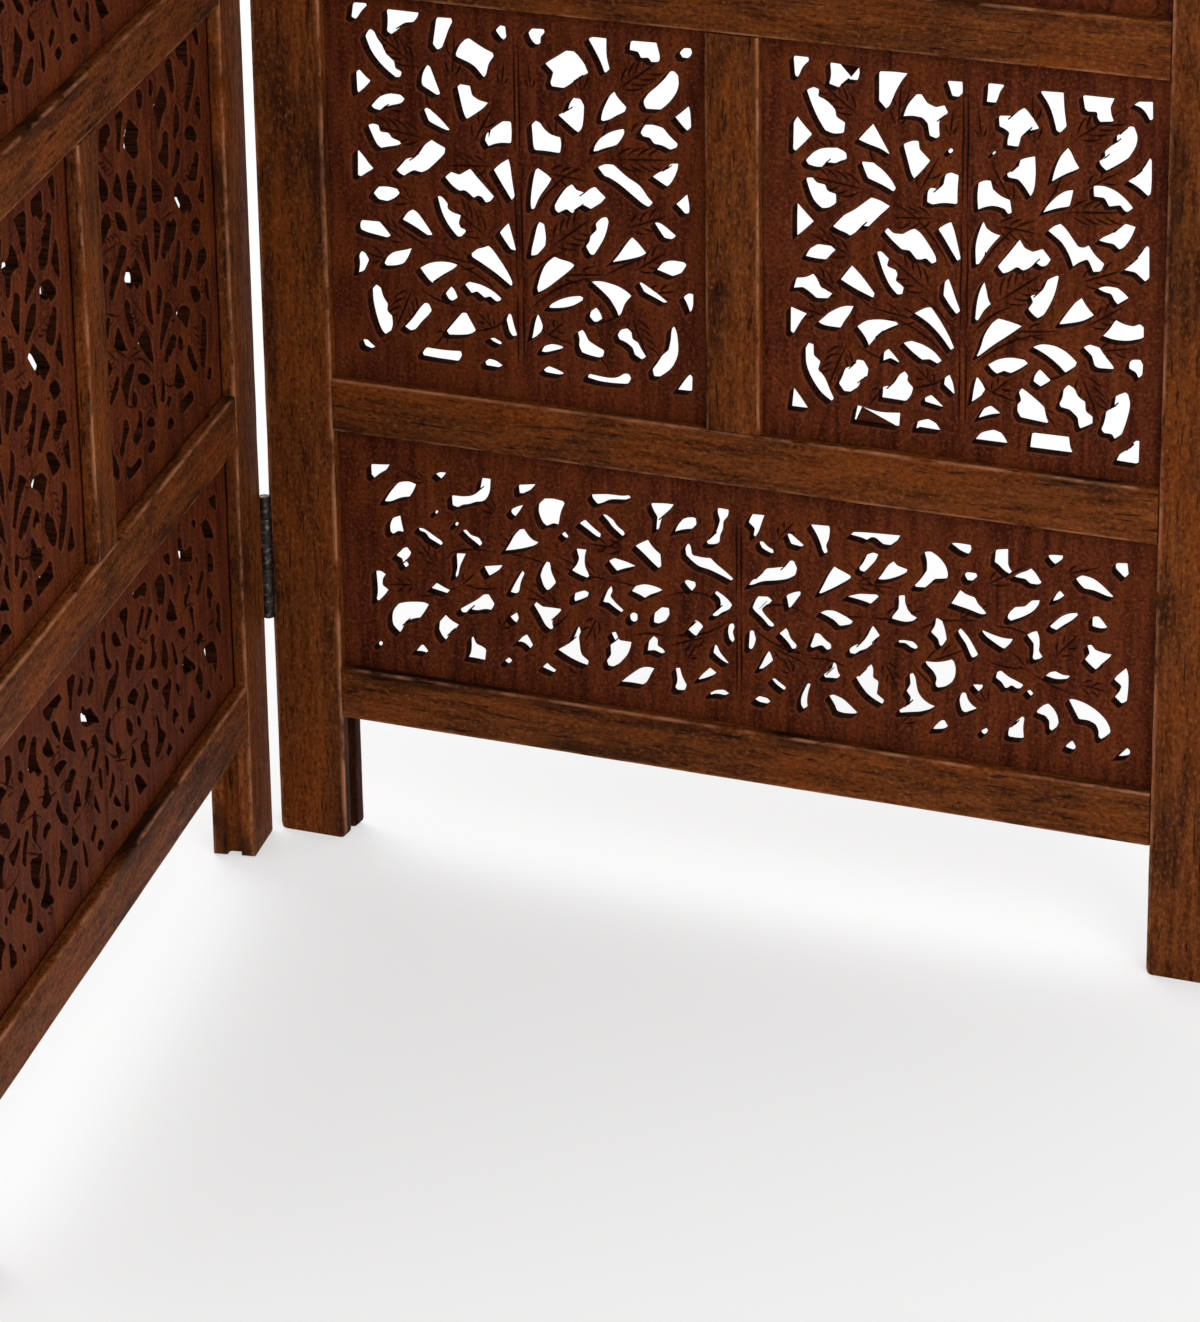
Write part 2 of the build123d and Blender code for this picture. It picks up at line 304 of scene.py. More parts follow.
def mark_grain(piece, low, high, along):
    """Writes the grain and section vectors of a plank that runs along one axis."""
    global grain_seed
    grain_seed += 1
    order = {"X": [0, 2, 1], "Z": [2, 0, 1]}[along]
    low = np.array(low)
    high = np.array(high)
    places = np.empty(len(piece.data.vertices) * 3, np.float32)
    piece.data.vertices.foreach_get("co", places)
    places = places.reshape(-1, 3)
    shift = np.array([1.37, 0.61, 0.43]) * grain_seed
    grain = places[:, order] + shift
    section = ((places - low) / (high - low) * 2 - 1)[:, order]
    for name, values in (("grain", grain), ("section", section)):
        attribute = piece.data.attributes.new(name, "FLOAT_VECTOR", "POINT")
        attribute.data.foreach_set("vector", values.astype(np.float32).ravel())


# %% [markdown]
# ## A finish, step by step
#
# A finish is a small graph of nodes. The helpers keep each material to a few readable lines:
# one reads a vector from the mesh, one makes stretched noise, one turns a value into a mask
# and one lays a colour over another through a mask.

# %% Helpers for materials


class Finish:
    """A material under construction, with short names for the nodes used here."""

    def __init__(self, name):
        self.material = bpy.data.materials.new(name)
        self.material.use_nodes = True
        self.nodes = self.material.node_tree.nodes
        self.links = self.material.node_tree.links
        self.shader = self.nodes["Principled BSDF"]

    def new(self, kind, **inputs):
        """A node with its inputs linked or set. Underscores stand for spaces."""
        node = self.nodes.new("ShaderNode" + kind)
        for key, value in inputs.items():
            socket = node.inputs[key.replace("_", " ")]
            if isinstance(value, bpy.types.NodeSocket):
                self.links.new(value, socket)
            else:
                socket.default_value = value
        return node

    def attribute(self, name, output="Vector"):
        node = self.new("Attribute")
        node.attribute_name = name
        return node.outputs[output]

    def object_place(self):
        return self.new("TexCoord").outputs["Object"]

    def stretch(self, vector, scale):
        return self.new("Mapping", Vector=vector, Scale=scale).outputs["Vector"]

    def noise(self, vector, scale, detail=4, roughness=0.55):
        return self.new("TexNoise", Vector=vector, Scale=scale, Detail=detail,
                        Roughness=roughness).outputs["Fac"]

    def mask(self, value, low, high, to_low=0, to_high=1):
        """Runs from to_low to to_high as the value runs from low to high."""
        node = self.new("MapRange", Value=value)
        node.inputs["From Min"].default_value = low
        node.inputs["From Max"].default_value = high
        node.inputs["To Min"].default_value = to_low
        node.inputs["To Max"].default_value = to_high
        return node.outputs["Result"]

    def math(self, operation, first, second=0.0):
        node = self.nodes.new("ShaderNodeMath")
        node.operation = operation
        for socket, value in zip(node.inputs, (first, second)):
            if isinstance(value, bpy.types.NodeSocket):
                self.links.new(value, socket)
            else:
                socket.default_value = value
        return node.outputs["Value"]

    def lay(self, under, over, mask):
        """One colour over another, where the mask is 1."""
        node = self.nodes.new("ShaderNodeMix")
        node.data_type = "RGBA"
        sockets = (node.inputs[0], node.inputs[6], node.inputs[7])
        for socket, value in zip(sockets, (mask, under, over)):
            if isinstance(value, bpy.types.NodeSocket):
                self.links.new(value, socket)
            elif socket == node.inputs[0]:
                socket.default_value = value
            else:
                socket.default_value = paint(value)
        return node.outputs[2]

    def bump(self, height, distance, strength):
        node = self.new("Bump", Height=height, Distance=distance, Strength=strength)
        self.links.new(node.outputs["Normal"], self.shader.inputs["Normal"])

    def set(self, **inputs):
        for key, value in inputs.items():
            socket = self.shader.inputs[key.replace("_", " ")]
            if isinstance(value, bpy.types.NodeSocket):
                self.links.new(value, socket)
            else:
                socket.default_value = value
        return self.material


def paint(rgb):
    """A colour as a painter reads it, 0 to 255, made linear."""
    linear = [((c / 255 + 0.055) / 1.055) ** 2.4 if c > 10 else c / 255 / 12.92 for c in rgb]
    return (*linear, 1)


# %% [markdown]
# ## Frame wood
#
# The frame is a dense brown hardwood, stained and waxed, then knocked about on purpose: short
# dark dashes along the grain, a few long scorched streaks, and darker patches near the edges
# here and there. Its arrises are painted pale, partly wood rubbed back and partly a painted
# highlight. Wood this dark has little colour of its own to send back,
# so even a weak gloss would wash it out: the specular level is kept low.

# %% Frame wood


def make_frame_wood():
    wood = Finish("waxed_frame_wood")
    grain = wood.attribute("grain")
    section = wood.new("SeparateXYZ", Vector=wood.attribute("section"))
    # Fibres: noise drawn out along the plank, over slow clouds of stain.
    fibre = wood.noise(wood.stretch(grain, (26, 210, 210)), 1, detail=6, roughness=0.7)
    cloud = wood.noise(wood.stretch(grain, (16, 36, 36)), 1, detail=3)
    colour = wood.lay((46, 17, 4), (122, 64, 24), wood.mask(fibre, 0.30, 0.70))
    colour = wood.lay(colour, (124, 58, 12), wood.mask(cloud, 0.48, 0.76, 0, 0.65))
    colour = wood.lay(colour, (44, 17, 8), wood.mask(cloud, 0.46, 0.30, 0, 0.6))
    # Mottle: stain that took unevenly, pale on the hard grain and dark in the pores.
    mottle = wood.noise(wood.stretch(grain, (1, 1.6, 1.6)), 330, detail=4, roughness=0.75)
    colour = wood.lay(colour, (150, 90, 44), wood.mask(mottle, 0.53, 0.70, 0, 0.6))
    colour = wood.lay(colour, (24, 8, 3), wood.mask(mottle, 0.47, 0.33, 0, 0.75))
    # Dashes and scorched streaks.
    dash = wood.noise(wood.stretch(grain, (60, 520, 520)), 1, detail=2)
    dash = wood.mask(dash, 0.62, 0.70)
    colour = wood.lay(colour, (20, 7, 4), wood.math("MULTIPLY", dash, 0.75))
    scorch = wood.noise(wood.stretch(grain, (13, 120, 120)), 1, detail=3, roughness=0.6)
    scorch = wood.mask(scorch, 0.66, 0.76)
    colour = wood.lay(colour, (18, 6, 4), wood.math("MULTIPLY", scorch, 0.85))
    # Edges darker in patches, and pale arrises, partly worn and partly a painted highlight: near 1 in
    # both directions across the plank.
    across = wood.math("ABSOLUTE", section.outputs["Y"])
    through = wood.math("ABSOLUTE", section.outputs["Z"])
    # Darker in patches towards both long edges.
    dark_edge_patch = wood.noise(wood.stretch(grain, (9, 30, 30)), 1, detail=2)
    dark_edge_patch = wood.math("MULTIPLY", wood.mask(dark_edge_patch, 0.54, 0.66), wood.mask(across, 0.35, 0.95))
    colour = wood.lay(colour, (16, 5, 3), wood.math("MULTIPLY", dark_edge_patch, 0.85))
    # Painted highlight: the arrises are painted pale, over real rubbed wear.
    edge = wood.math("MULTIPLY", wood.mask(across, 0.86, 0.97), wood.mask(through, 0.80, 0.95))
    rub_and_highlight_noise = wood.noise(wood.stretch(grain, (40, 90, 90)), 1, detail=4, roughness=0.7)
    wear_and_highlight = wood.math("MULTIPLY", edge, wood.mask(rub_and_highlight_noise, 0.40, 0.60))
    colour = wood.lay(colour, (186, 124, 88), wood.math("MULTIPLY", wear_and_highlight, 0.75))
    height = wood.math("SUBTRACT", wood.math("ADD", fibre, mottle), wood.math("ADD", dash, scorch))
    wood.bump(height, 0.0005, 0.7)
    return wood.set(Base_Color=colour, Roughness=wood.mask(fibre, 0.3, 0.7, 0.72, 0.55),
                    Specular_IOR_Level=0.06)


frame_wood = make_frame_wood()
print("finish:", frame_wood.name)

# %% [markdown]
# ## Stiles, rails and uprights
#
# Every member starts as a sawn block. A groove is ploughed along each edge that holds a panel,
# the long edges are rounded by years of handling, and the faces are left a little uneven, as
# a hand plane leaves them.

# %% Member sizes from the model
PANEL_LOW, PANEL_HIGH = box_of("row_1_band_panel")
GROOVE_FRONT = PANEL_LOW.y
GROOVE_BACK = PANEL_HIGH.y
HINGE_STILE_LOW, HINGE_STILE_HIGH = box_of("hinge_stile")
OPENING_LEFT = HINGE_STILE_HIGH.x
OPENING_RIGHT = stile_low.x
GROOVE_DEPTH = OPENING_LEFT - box_of("rail_2")[0].x
EDGE_ROUND = 1.3 * mm
FOOT_ROUND = 3.5 * mm
UNEVEN = 0.5 * mm
SLICE_PITCH = 0.018
print("groove depth in millimetres:", round(GROOVE_DEPTH / mm, 2))

# %% Uneven surface
plane_marks = bpy.data.textures.new("plane_marks", "CLOUDS")
plane_marks.noise_scale = 0.022
plane_marks.noise_depth = 2


def weather(piece, depth):
    """Pushes the surface in by up to a depth, unevenly."""
    apply_modifier(piece, "DISPLACE", texture=plane_marks, texture_coords="LOCAL",
                   strength=depth, mid_level=1.0)


def finish_member(piece, low, high, along):
    """Rounds the long edges of a block, makes it uneven and gives it its grain."""
    axis = "XYZ".index(along)
    bevel_edges(piece, lambda a, b: abs(a[axis] - b[axis]) > 0.9 * (a - b).length, EDGE_ROUND)
    slice_across(piece, along, low[axis], high[axis], SLICE_PITCH)
    weather(piece, UNEVEN)
    soften(piece)
    mark_grain(piece, low, high, along)
    piece.data.materials.append(frame_wood)


# %% Stiles


def make_stile(name, hinged):
    """An upright with a groove along its inner edge."""
    low, high = box_of(name)
    piece = block(f"right_{name}", low, high)
    bevel_edges(piece, lambda a, b: abs(a.z - b.z) < mm and abs(a.x - b.x) < mm, FOOT_ROUND)
    inner = high.x if hinged else low.x
    cut(piece, block("groove", (inner - GROOVE_DEPTH, GROOVE_FRONT, low.z - mm),
                     (inner + GROOVE_DEPTH, GROOVE_BACK, high.z + mm)))
    if hinged:
        for bottom, top in hinge_spans:
            cut(piece, block("hinge_seat", (low.x - mm, FRONT - mm, bottom),
                             (low.x + PLATE_THICKNESS, FRONT + plate_depth, top)))
    finish_member(piece, low, high, "Z")
    return piece


right_plates_low, right_plates_high = box_of("hinge_plates")
PLATE_THICKNESS = 1.5 * mm
plate_depth = right_plates_high.y - FRONT
hinge_height = 66 * mm
hinge_spans = [(right_plates_low.z, right_plates_low.z + hinge_height),
               (right_plates_high.z - hinge_height, right_plates_high.z)]
members = {"outer_stile": make_stile("outer_stile", hinged=False),
           "hinge_stile": make_stile("hinge_stile", hinged=True)}
print("stiles:", {name: len(piece.data.polygons) for name, piece in members.items()})

# %% Rails
RAIL_NAMES = ["bottom_rail", *(f"rail_{number}" for number in range(2, 8)), "top_rail"]


def make_rail(name):
    """A rail with a groove above, and one below unless it is the lowest."""
    low, high = box_of(name)
    body_low = (OPENING_LEFT, FRONT, low.z)
    body_high = (OPENING_RIGHT, BACK, high.z)
    piece = block(f"right_{name}", body_low, body_high)
    edges = [high.z] if name == "bottom_rail" else [high.z, low.z]
    for edge in edges:
        cut(piece, block("groove", (low.x - mm, GROOVE_FRONT, edge - GROOVE_DEPTH),
                         (high.x + mm, GROOVE_BACK, edge + GROOVE_DEPTH)))
    finish_member(piece, Vector(body_low), Vector(body_high), "X")
    return piece


for rail in RAIL_NAMES:
    members[rail] = make_rail(rail)
print("rails:", len(RAIL_NAMES), "faces in one:", len(members["rail_2"].data.polygons))

# %% Uprights between the tree panels
TREE_ROWS = [2, 4, 6]
BAND_ROWS = [1, 3, 5, 7]


def make_muntin(row):
    """A short upright, grooved on both sides."""
    low, high = box_of(f"row_{row}_muntin")
    body_low = Vector((low.x, FRONT, low.z + GROOVE_DEPTH))
    body_high = Vector((high.x, BACK, high.z - GROOVE_DEPTH))
    piece = block(f"right_row_{row}_muntin", body_low, body_high)
    for edge in (low.x, high.x):
        cut(piece, block("groove", (edge - GROOVE_DEPTH, GROOVE_FRONT, low.z - mm),
                         (edge + GROOVE_DEPTH, GROOVE_BACK, high.z + mm)))
    finish_member(piece, body_low, body_high, "Z")
    return piece


for row in TREE_ROWS:
    members[f"row_{row}_muntin"] = make_muntin(row)

# %% [markdown]
# ## Jali panels
#
# A jali is a board sawn through with a fretsaw, then carved: the saw leaves the branches, and a
# gouge gives every leaf its ribs. The pattern was drawn freehand: the halves of a tree are alike
# but never the same, and neither are the two trees of a row. So every hole has its own outline,
# in millimetres from the stem and from the opening's lower edge. Sharp corners get the small
# round of a saw blade, and gentle ones become curves.
#
# The board is thick, and from aside the walls of a hole hide a part of it. The lists hold the
# clear shapes, as they show from the right and from above, and the saw's outline is each shape
# drawn out by the slant of that line of sight from the front of the board to its back.

# %% Outline helpers
SAW_ROUND = 0.8
GENTLE_TURN = math.radians(30)
CORNER_SHARE = 0.42
CURVE_STEPS = (0, 1 / 3, 2 / 3, 1)


def anticlockwise(outline):
    """The outline in the order that keeps its inside on the left."""
    x, z = np.array(outline).T
    turning = np.sum(x * np.roll(z, -1) - np.roll(x, -1) * z)
    return outline if turning > 0 else outline[::-1]


def rounded(outline):
    """A closed outline with its corners rounded, as an array of points."""
    corners = [Vector(point) for point in anticlockwise(outline)]
    points = []
    for index, corner in enumerate(corners):
        back = corners[index - 1] - corner
        ahead = corners[(index + 1) % len(corners)] - corner
        turn = math.pi - back.angle(ahead)
        reach = math.inf if turn < GENTLE_TURN else SAW_ROUND
        start = corner + back * min(CORNER_SHARE, reach / back.length)
        end = corner + ahead * min(CORNER_SHARE, reach / ahead.length)
        for t in CURVE_STEPS:
            points.append(start * (1 - t) ** 2 + corner * 2 * t * (1 - t) + end * t ** 2)
    return np.array(points)


def faces(start, end, slant):
    """Whether a side of an anticlockwise outline looks the way of a slant."""
    return (end[1] - start[1]) * slant[0] > (end[0] - start[0]) * slant[1]


def drawn_out(outline, slant):
    """An outline swept along a slant: the sides that look that way move, and the others stay."""
    corners = list(anticlockwise(outline))
    swept = []
    for back, corner, ahead in zip(corners[-1:] + corners[:-1], corners, corners[1:] + corners[:1]):
        for moves in dict.fromkeys((faces(back, corner, slant), faces(corner, ahead, slant))):
            swept.append((corner[0] + slant[0] * moves, corner[1] + slant[1] * moves))
    return swept


def sawn_through(outlines, slant):
    return [drawn_out(outline, slant) for outline in outlines]


def circle(centre, radius, sides=10):
    return [(centre[0] + radius * math.cos(turn), centre[1] + radius * math.sin(turn))
            for turn in np.linspace(0, 2 * math.pi, sides, endpoint=False)]


# %% [markdown]
# ### The trees
#
# Pairs of branches climb a straight stem. The lists of a tree's two sides follow it upwards:
# the mound at its foot, the low branches, the middle and the crown, with the notches along the
# border.

# %% Holes of the left tree, left of its stem
LEFT_TREE_WEST = [
    # The foot, left of the stem.
    [(-86.3, 20.3), (-84, 20.5), (-81.5, 18.5), (-79.3, 17), (-81.5, 16), (-85, 17)],
    [(-53.5, 17.5), (-51.5, 20.3), (-42, 20), (-32.5, 20.8), (-31.8, 18.5), (-33.5, 15.3), (-44, 15.3),
     (-53, 15.8)],
    [(-19.3, 17), (-17.5, 18.8), (-13.5, 18.3), (-9.5, 15.8), (-11.5, 14.7), (-18.5, 15)],
    [(-17, 29.7), (-14.5, 30.3), (-10.3, 28.3), (-10.5, 26.8), (-14, 27.8)],
    [(-7.3, 40.5), (-6, 43.7), (-4.7, 43), (-3, 36), (-1.8, 32.5), (-4, 32), (-6, 34.5)],
    [(-40, 30.5), (-36, 35.5), (-31.5, 41), (-29, 41.2), (-27, 37.5), (-25.5, 35), (-24.2, 32.5),
     (-26.5, 30.2), (-32, 29), (-38.5, 28.3)],
    [(-63, 30), (-58.5, 35), (-55, 40.5), (-52, 43.8), (-49.5, 43.5), (-47.8, 40), (-50, 37), (-54, 33),
     (-57, 28.8), (-59.5, 28)],
    [(-80, 48), (-78, 50), (-75.5, 48.5), (-74.5, 44), (-72, 40.5), (-72.5, 37), (-69.8, 34.5),
     (-69.3, 30), (-70.5, 26.5), (-73.5, 24.3), (-76, 27), (-78.5, 35), (-80, 42)],
    # The low branches, left.
    [(-40, 50), (-37, 53.8), (-35, 52), (-33.3, 48), (-35.8, 46.3), (-38, 46.8)],
    [(-29.3, 55.8), (-27.5, 57.5), (-21, 56.8), (-15, 54.5), (-10, 51), (-10.5, 49.3), (-12.5, 49),
     (-15.5, 51.2), (-18.5, 50), (-20.8, 51.7), (-22.5, 52.8), (-25.5, 51.5)],
    [(-53.7, 62), (-50, 64.5), (-44, 66.3), (-37, 66.5), (-33, 65.3), (-35.5, 62.8), (-40, 60),
     (-44, 57), (-46.5, 54.3), (-48.5, 55.5), (-51.5, 59)],
    [(-73, 61.5), (-71.3, 65.5), (-68, 68.3), (-62, 70), (-58, 71.5), (-60, 66.5), (-62.5, 62.5),
     (-66.5, 61), (-71.5, 60.3)],
    [(-86.8, 64), (-85.7, 66.5), (-83.5, 65.5), (-81.3, 62), (-82.5, 59), (-84, 56), (-87.3, 54.8),
     (-86.3, 60)],
    [(-86, 80.5), (-85.3, 82.5), (-75, 82.8), (-71.5, 79), (-69, 76), (-71, 75), (-78, 76), (-82, 76.6),
     (-85.5, 77.8)],
    [(-62.3, 85.5), (-59.5, 89.8), (-57, 91.3), (-54.3, 90), (-50, 85), (-46.3, 79.3), (-49, 79),
     (-55.5, 82.7)],
    [(-25.5, 72.5), (-22.5, 75), (-19, 76), (-16.5, 77.3), (-14, 75.5), (-10, 70.5), (-6, 64.5),
     (-4, 60), (-4.3, 58), (-6.5, 59.5), (-12, 63.5), (-19, 67.5), (-25, 70.5)],
    # The middle, left.
    [(-10, 85), (-6.8, 80.5), (-4, 77), (-1.5, 76.5), (-3, 82), (-5.3, 90.5), (-7.5, 88.3)],
    [(-43.3, 100), (-41.5, 93), (-38.5, 87), (-35, 82.5), (-32.5, 80), (-30.5, 80.2), (-28.3, 82.7),
     (-28.7, 84.2), (-31.3, 84.8), (-32.2, 87), (-31, 91.3), (-36, 92.3), (-38.3, 94), (-38, 96.5),
     (-41, 99.6)],
    [(-78, 97.5), (-75, 94.3), (-70, 93.8), (-66, 95.8), (-63.5, 98.5), (-65, 100.8), (-70, 101.5),
     (-75.5, 101)],
    [(-12.5, 117), (-9.5, 120), (-5, 123), (-4, 120.5), (-2.8, 112), (-1.5, 104), (-2.8, 102),
     (-4.5, 104.5), (-8.5, 110.5)],
    [(-38.8, 110.3), (-36, 113), (-31.5, 112), (-27, 115), (-25.5, 115.8), (-21.5, 111.5),
     (-17.5, 107.5), (-12.5, 102.5), (-14.5, 100), (-17, 99.3), (-19, 102), (-21, 102.5), (-23.5, 101),
     (-26.5, 103.5), (-28.5, 104.5), (-31, 103.8), (-35, 106)],
    [(-65, 111), (-62, 114), (-59.5, 117), (-55, 118), (-52, 121), (-49.5, 125.5), (-46, 128.2),
     (-42.5, 126.3), (-38.5, 124.7), (-39, 121.5), (-43, 117), (-47.5, 112.5), (-51, 110.8),
     (-55, 111.5), (-58, 109.8), (-60.5, 108), (-63, 109)],
    [(-86, 118.8), (-83, 116), (-80, 112), (-77.5, 109.8), (-80, 108.5), (-84.5, 105.3), (-86.5, 106),
     (-86.3, 112)],
    # The crown, left.
    [(-80, 132.5), (-77.5, 133.3), (-74.5, 132.8), (-73.5, 129.5), (-69, 129.3), (-67, 126.5),
     (-64, 125.8), (-62, 124), (-64.5, 123), (-69.5, 122), (-73, 121), (-75.5, 123), (-77.5, 127)],
    [(-49, 143.5), (-47.5, 144), (-42, 140.5), (-38, 137), (-35.5, 134), (-37.5, 134), (-43, 136),
     (-46.5, 137.5)],
    [(-78, 142.5), (-74, 147), (-68.5, 149.5), (-62, 149.3), (-59.5, 147), (-61, 145), (-67, 143.5),
     (-71, 142), (-72.5, 140.3), (-76.5, 141)],
    [(-85.3, 159), (-84, 159.8), (-80.5, 156.5), (-77.7, 154.5), (-80.5, 151), (-84, 147.8), (-85, 149)],
    [(-50.3, 157.5), (-49.5, 162), (-47.3, 166), (-45.3, 165), (-43.5, 160.5), (-41.5, 155.5),
     (-40.2, 151.5), (-42, 151.2), (-46.5, 153.7), (-49.5, 155.2)],
    [(-31, 157), (-30, 158), (-24.5, 157.7), (-23.5, 153), (-20, 151), (-15, 150.2), (-17.5, 147),
     (-22, 143.5), (-26, 140.8), (-27.5, 143), (-29, 148)],
    [(-17, 131.5), (-16, 135), (-12, 138.5), (-7.5, 141.8), (-3.5, 142), (-2.8, 141), (-2.5, 136),
     (-2.8, 131), (-8, 130.8), (-12, 129.7), (-15, 128.3)],
    [(-79.7, 177.5), (-77.8, 180.8), (-75, 180), (-73.5, 176.5), (-71, 173.5), (-69.5, 169.5),
     (-66.5, 167), (-65, 166), (-64.5, 162.5), (-61, 161), (-61.5, 158.5), (-64, 158.2), (-69, 161.5),
     (-74, 166), (-77.5, 171)],
    [(-31.3, 173), (-29.5, 177.5), (-27, 180.5), (-24.5, 181.5), (-21, 179.5), (-16, 177), (-12, 175.5),
     (-11.5, 173.5), (-14.3, 169.5), (-15.2, 164.5), (-16.3, 162.8), (-18, 164.5), (-21, 168),
     (-25, 169.8), (-30.5, 171.5)],
    [(-43.5, 177), (-41.5, 190.3), (-33.5, 190.5), (-32.8, 188.5), (-35, 184.5), (-37, 179),
     (-38.5, 175), (-41, 174)],
    [(-68, 191.8), (-51, 191.8), (-51.5, 189.5), (-53.3, 187), (-58, 186.3), (-60.5, 184.5),
     (-61.5, 182.3), (-65.5, 179.5), (-68, 181), (-67.5, 187)],
    [(-87, 186), (-86, 193.3), (-79, 193.5), (-78.5, 192), (-81.5, 189), (-84, 185)],
    [(-10, 187.5), (-8, 189.8), (-4.8, 189.5), (-4.5, 184), (-5.5, 182.8), (-7.5, 184)],
]

